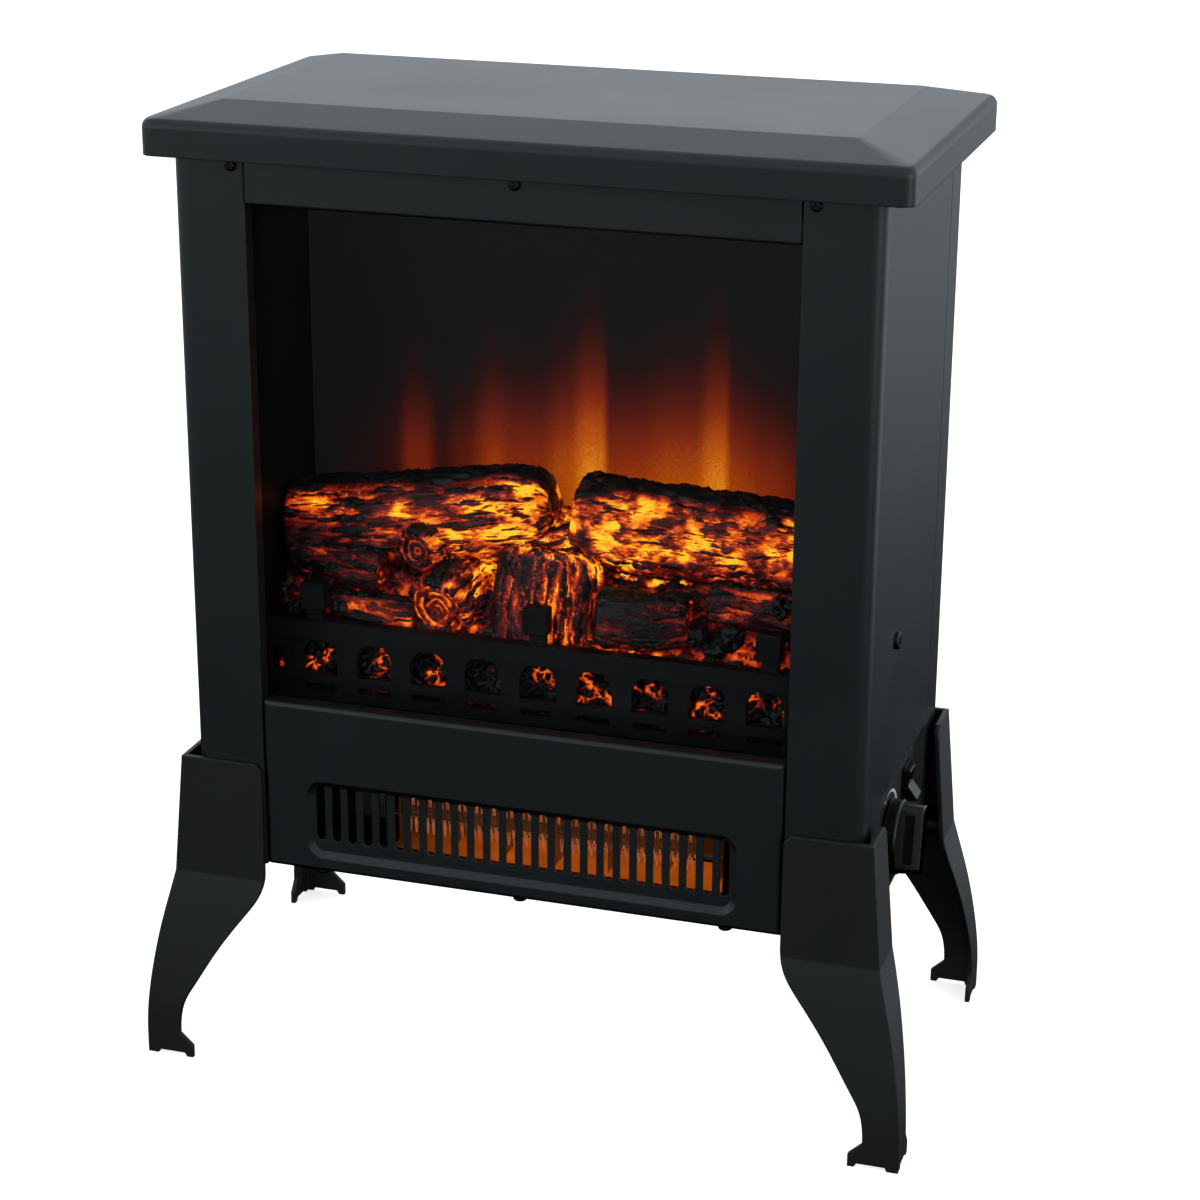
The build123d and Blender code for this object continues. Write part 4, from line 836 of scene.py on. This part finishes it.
# ---------------------------------------------------------------- window
# Clear toughened glass, pressed against the folded window edges by four sprung clips. Its index is
# set well under that of real glass, so that the studio's reflection doesn't veil the fire.
glass, tree, shader = new_material("clear_glass")
shader.inputs["Transmission Weight"].default_value = 1.0
shader.inputs["IOR"].default_value = 1.1
shader.inputs["Metallic"].default_value = 0.0
tree.links.new(mapped(tree, grained(tree).outputs["Patch"], 0.0, 0.012), shader.inputs["Roughness"])
shader.inputs["Base Color"].default_value = (0.96, 0.97, 0.965, 1)
clear = tree.nodes.new("ShaderNodeBsdfTransparent")
clear.inputs["Color"].default_value = (0.9, 0.9, 0.9, 1)
pick = tree.nodes.new("ShaderNodeMixShader")
ray = tree.nodes.new("ShaderNodeLightPath")
output = tree.nodes["Material Output"]
tree.links.new(ray.outputs["Is Shadow Ray"], pick.inputs["Fac"])
tree.links.new(shader.outputs["BSDF"], pick.inputs[1])
tree.links.new(clear.outputs["BSDF"], pick.inputs[2])
tree.links.new(pick.outputs["Shader"], output.inputs["Surface"])
finish_nodes(glass, "glass_pane")
spring = metal("spring_steel", (0.34, 0.34, 0.36), 0.36, streaks=(40, 900, 900))
finish_nodes(spring, "glass_clips")

# ---------------------------------------------------------------- controls
# Recessed plate low on the right side with a rotary thermostat knob and a rocker switch, all moulded
# in black plastic. The plate is matt, the knob and the rocker are glossier.
control_black = coated("control_black", (0.0065, 0.0070, 0.0074), (0.4, 0.48), grain=2200.0,
                       edge=0.0005, shine=0.35)

# A painted highlight curves round the knob: a pale tapering stroke with a painted glint before and after it.
KNOB_Y, KNOB_Z, HIGHLIGHT_ARC_R = -0.0115, 0.143, 0.0245
STROKE_START, STROKE_END, STROKE_HALF_W = math.radians(30), math.radians(100), (0.0014, 0.0002)
DOT_ANGLES, DOT_HALF_W = (18, 112), 0.0009
tree = control_black.node_tree
spot_on = place_on_object(tree)
to_rear = calculated(tree, "SUBTRACT", spot_on["Y"], KNOB_Y)
upward = calculated(tree, "SUBTRACT", spot_on["Z"], KNOB_Z)
turn = calculated(tree, "ARCTAN2", upward, to_rear)
squares = (calculated(tree, "MULTIPLY", to_rear, to_rear), calculated(tree, "MULTIPLY", upward, upward))
away = calculated(tree, "SQRT", calculated(tree, "ADD", *squares))
half_stroke = mapped(tree, turn, *STROKE_HALF_W, STROKE_START, STROKE_END)
off_line = calculated(tree, "ABSOLUTE", calculated(tree, "SUBTRACT", away, HIGHLIGHT_ARC_R))
painted_highlight = calculated(tree, "LESS_THAN", off_line, half_stroke)
painted_highlight = calculated(tree, "MULTIPLY", painted_highlight, calculated(tree, "GREATER_THAN", turn, STROKE_START))
painted_highlight = calculated(tree, "MULTIPLY", painted_highlight, calculated(tree, "LESS_THAN", turn, STROKE_END))
for degrees in DOT_ANGLES:
    off_y = calculated(tree, "SUBTRACT", to_rear, HIGHLIGHT_ARC_R * math.cos(math.radians(degrees)))
    off_z = calculated(tree, "SUBTRACT", upward, HIGHLIGHT_ARC_R * math.sin(math.radians(degrees)))
    off_y, off_z = calculated(tree, "ABSOLUTE", off_y), calculated(tree, "ABSOLUTE", off_z)
    gap = calculated(tree, "MAXIMUM", off_y, off_z)
    painted_highlight = calculated(tree, "MAXIMUM", painted_highlight, calculated(tree, "LESS_THAN", gap, DOT_HALF_W))
shader = tree.nodes["Principled BSDF"]
plain = shader.inputs["Base Color"].links[0].from_socket
# the pale arc and glints are a painted highlight, mixed into the plate's colour
painted_highlight_mix = tree.nodes.new("ShaderNodeMix")
painted_highlight_mix.data_type = "RGBA"
painted_highlight_mix.inputs["B"].default_value = (0.62, 0.62, 0.60, 1)
tree.links.new(plain, painted_highlight_mix.inputs["A"])
tree.links.new(painted_highlight, painted_highlight_mix.inputs["Factor"])
tree.links.new(painted_highlight_mix.outputs["Result"], shader.inputs["Base Color"])
finish_nodes(control_black, "control_plate")
knob_black = coated("knob_black", (0.0040, 0.0044, 0.0046), (0.24, 0.3), grain=3000.0, depth=0.00001,
                    edge=0.0005, shine=0.35)
finish_nodes(knob_black, "thermostat_knob", "rocker_housing", "rocker_paddle")

# ---------------------------------------------------------------- fasteners and wiring
# Steel screws in black zinc, which cut into the sheet; the ceramic terminal block and its insulated
# leads in the heater bay; the rubber gland that grips the cord in the rear cover.
screw_black = metal("black_zinc", (0.030, 0.032, 0.035), 0.42, streaks=(500, 500, 500))
finish_nodes(screw_black, "leg_screws", "lid_screws", "panel_screws", "side_screws", "rear_screws")
ceramic = coated("steatite", (0.72, 0.69, 0.62), (0.35, 0.45), grain=1500.0)
finish_nodes(ceramic, "terminal_block")
insulation = coated("lead_insulation", (0.42, 0.30, 0.22), (0.4, 0.5))
finish_nodes(insulation, "wire_loom")
gland_rubber = coated("gland_rubber", (0.014, 0.014, 0.015), (0.5, 0.6), edge=0.0004)
finish_nodes(gland_rubber, "mains_inlet_gland")

low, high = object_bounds()
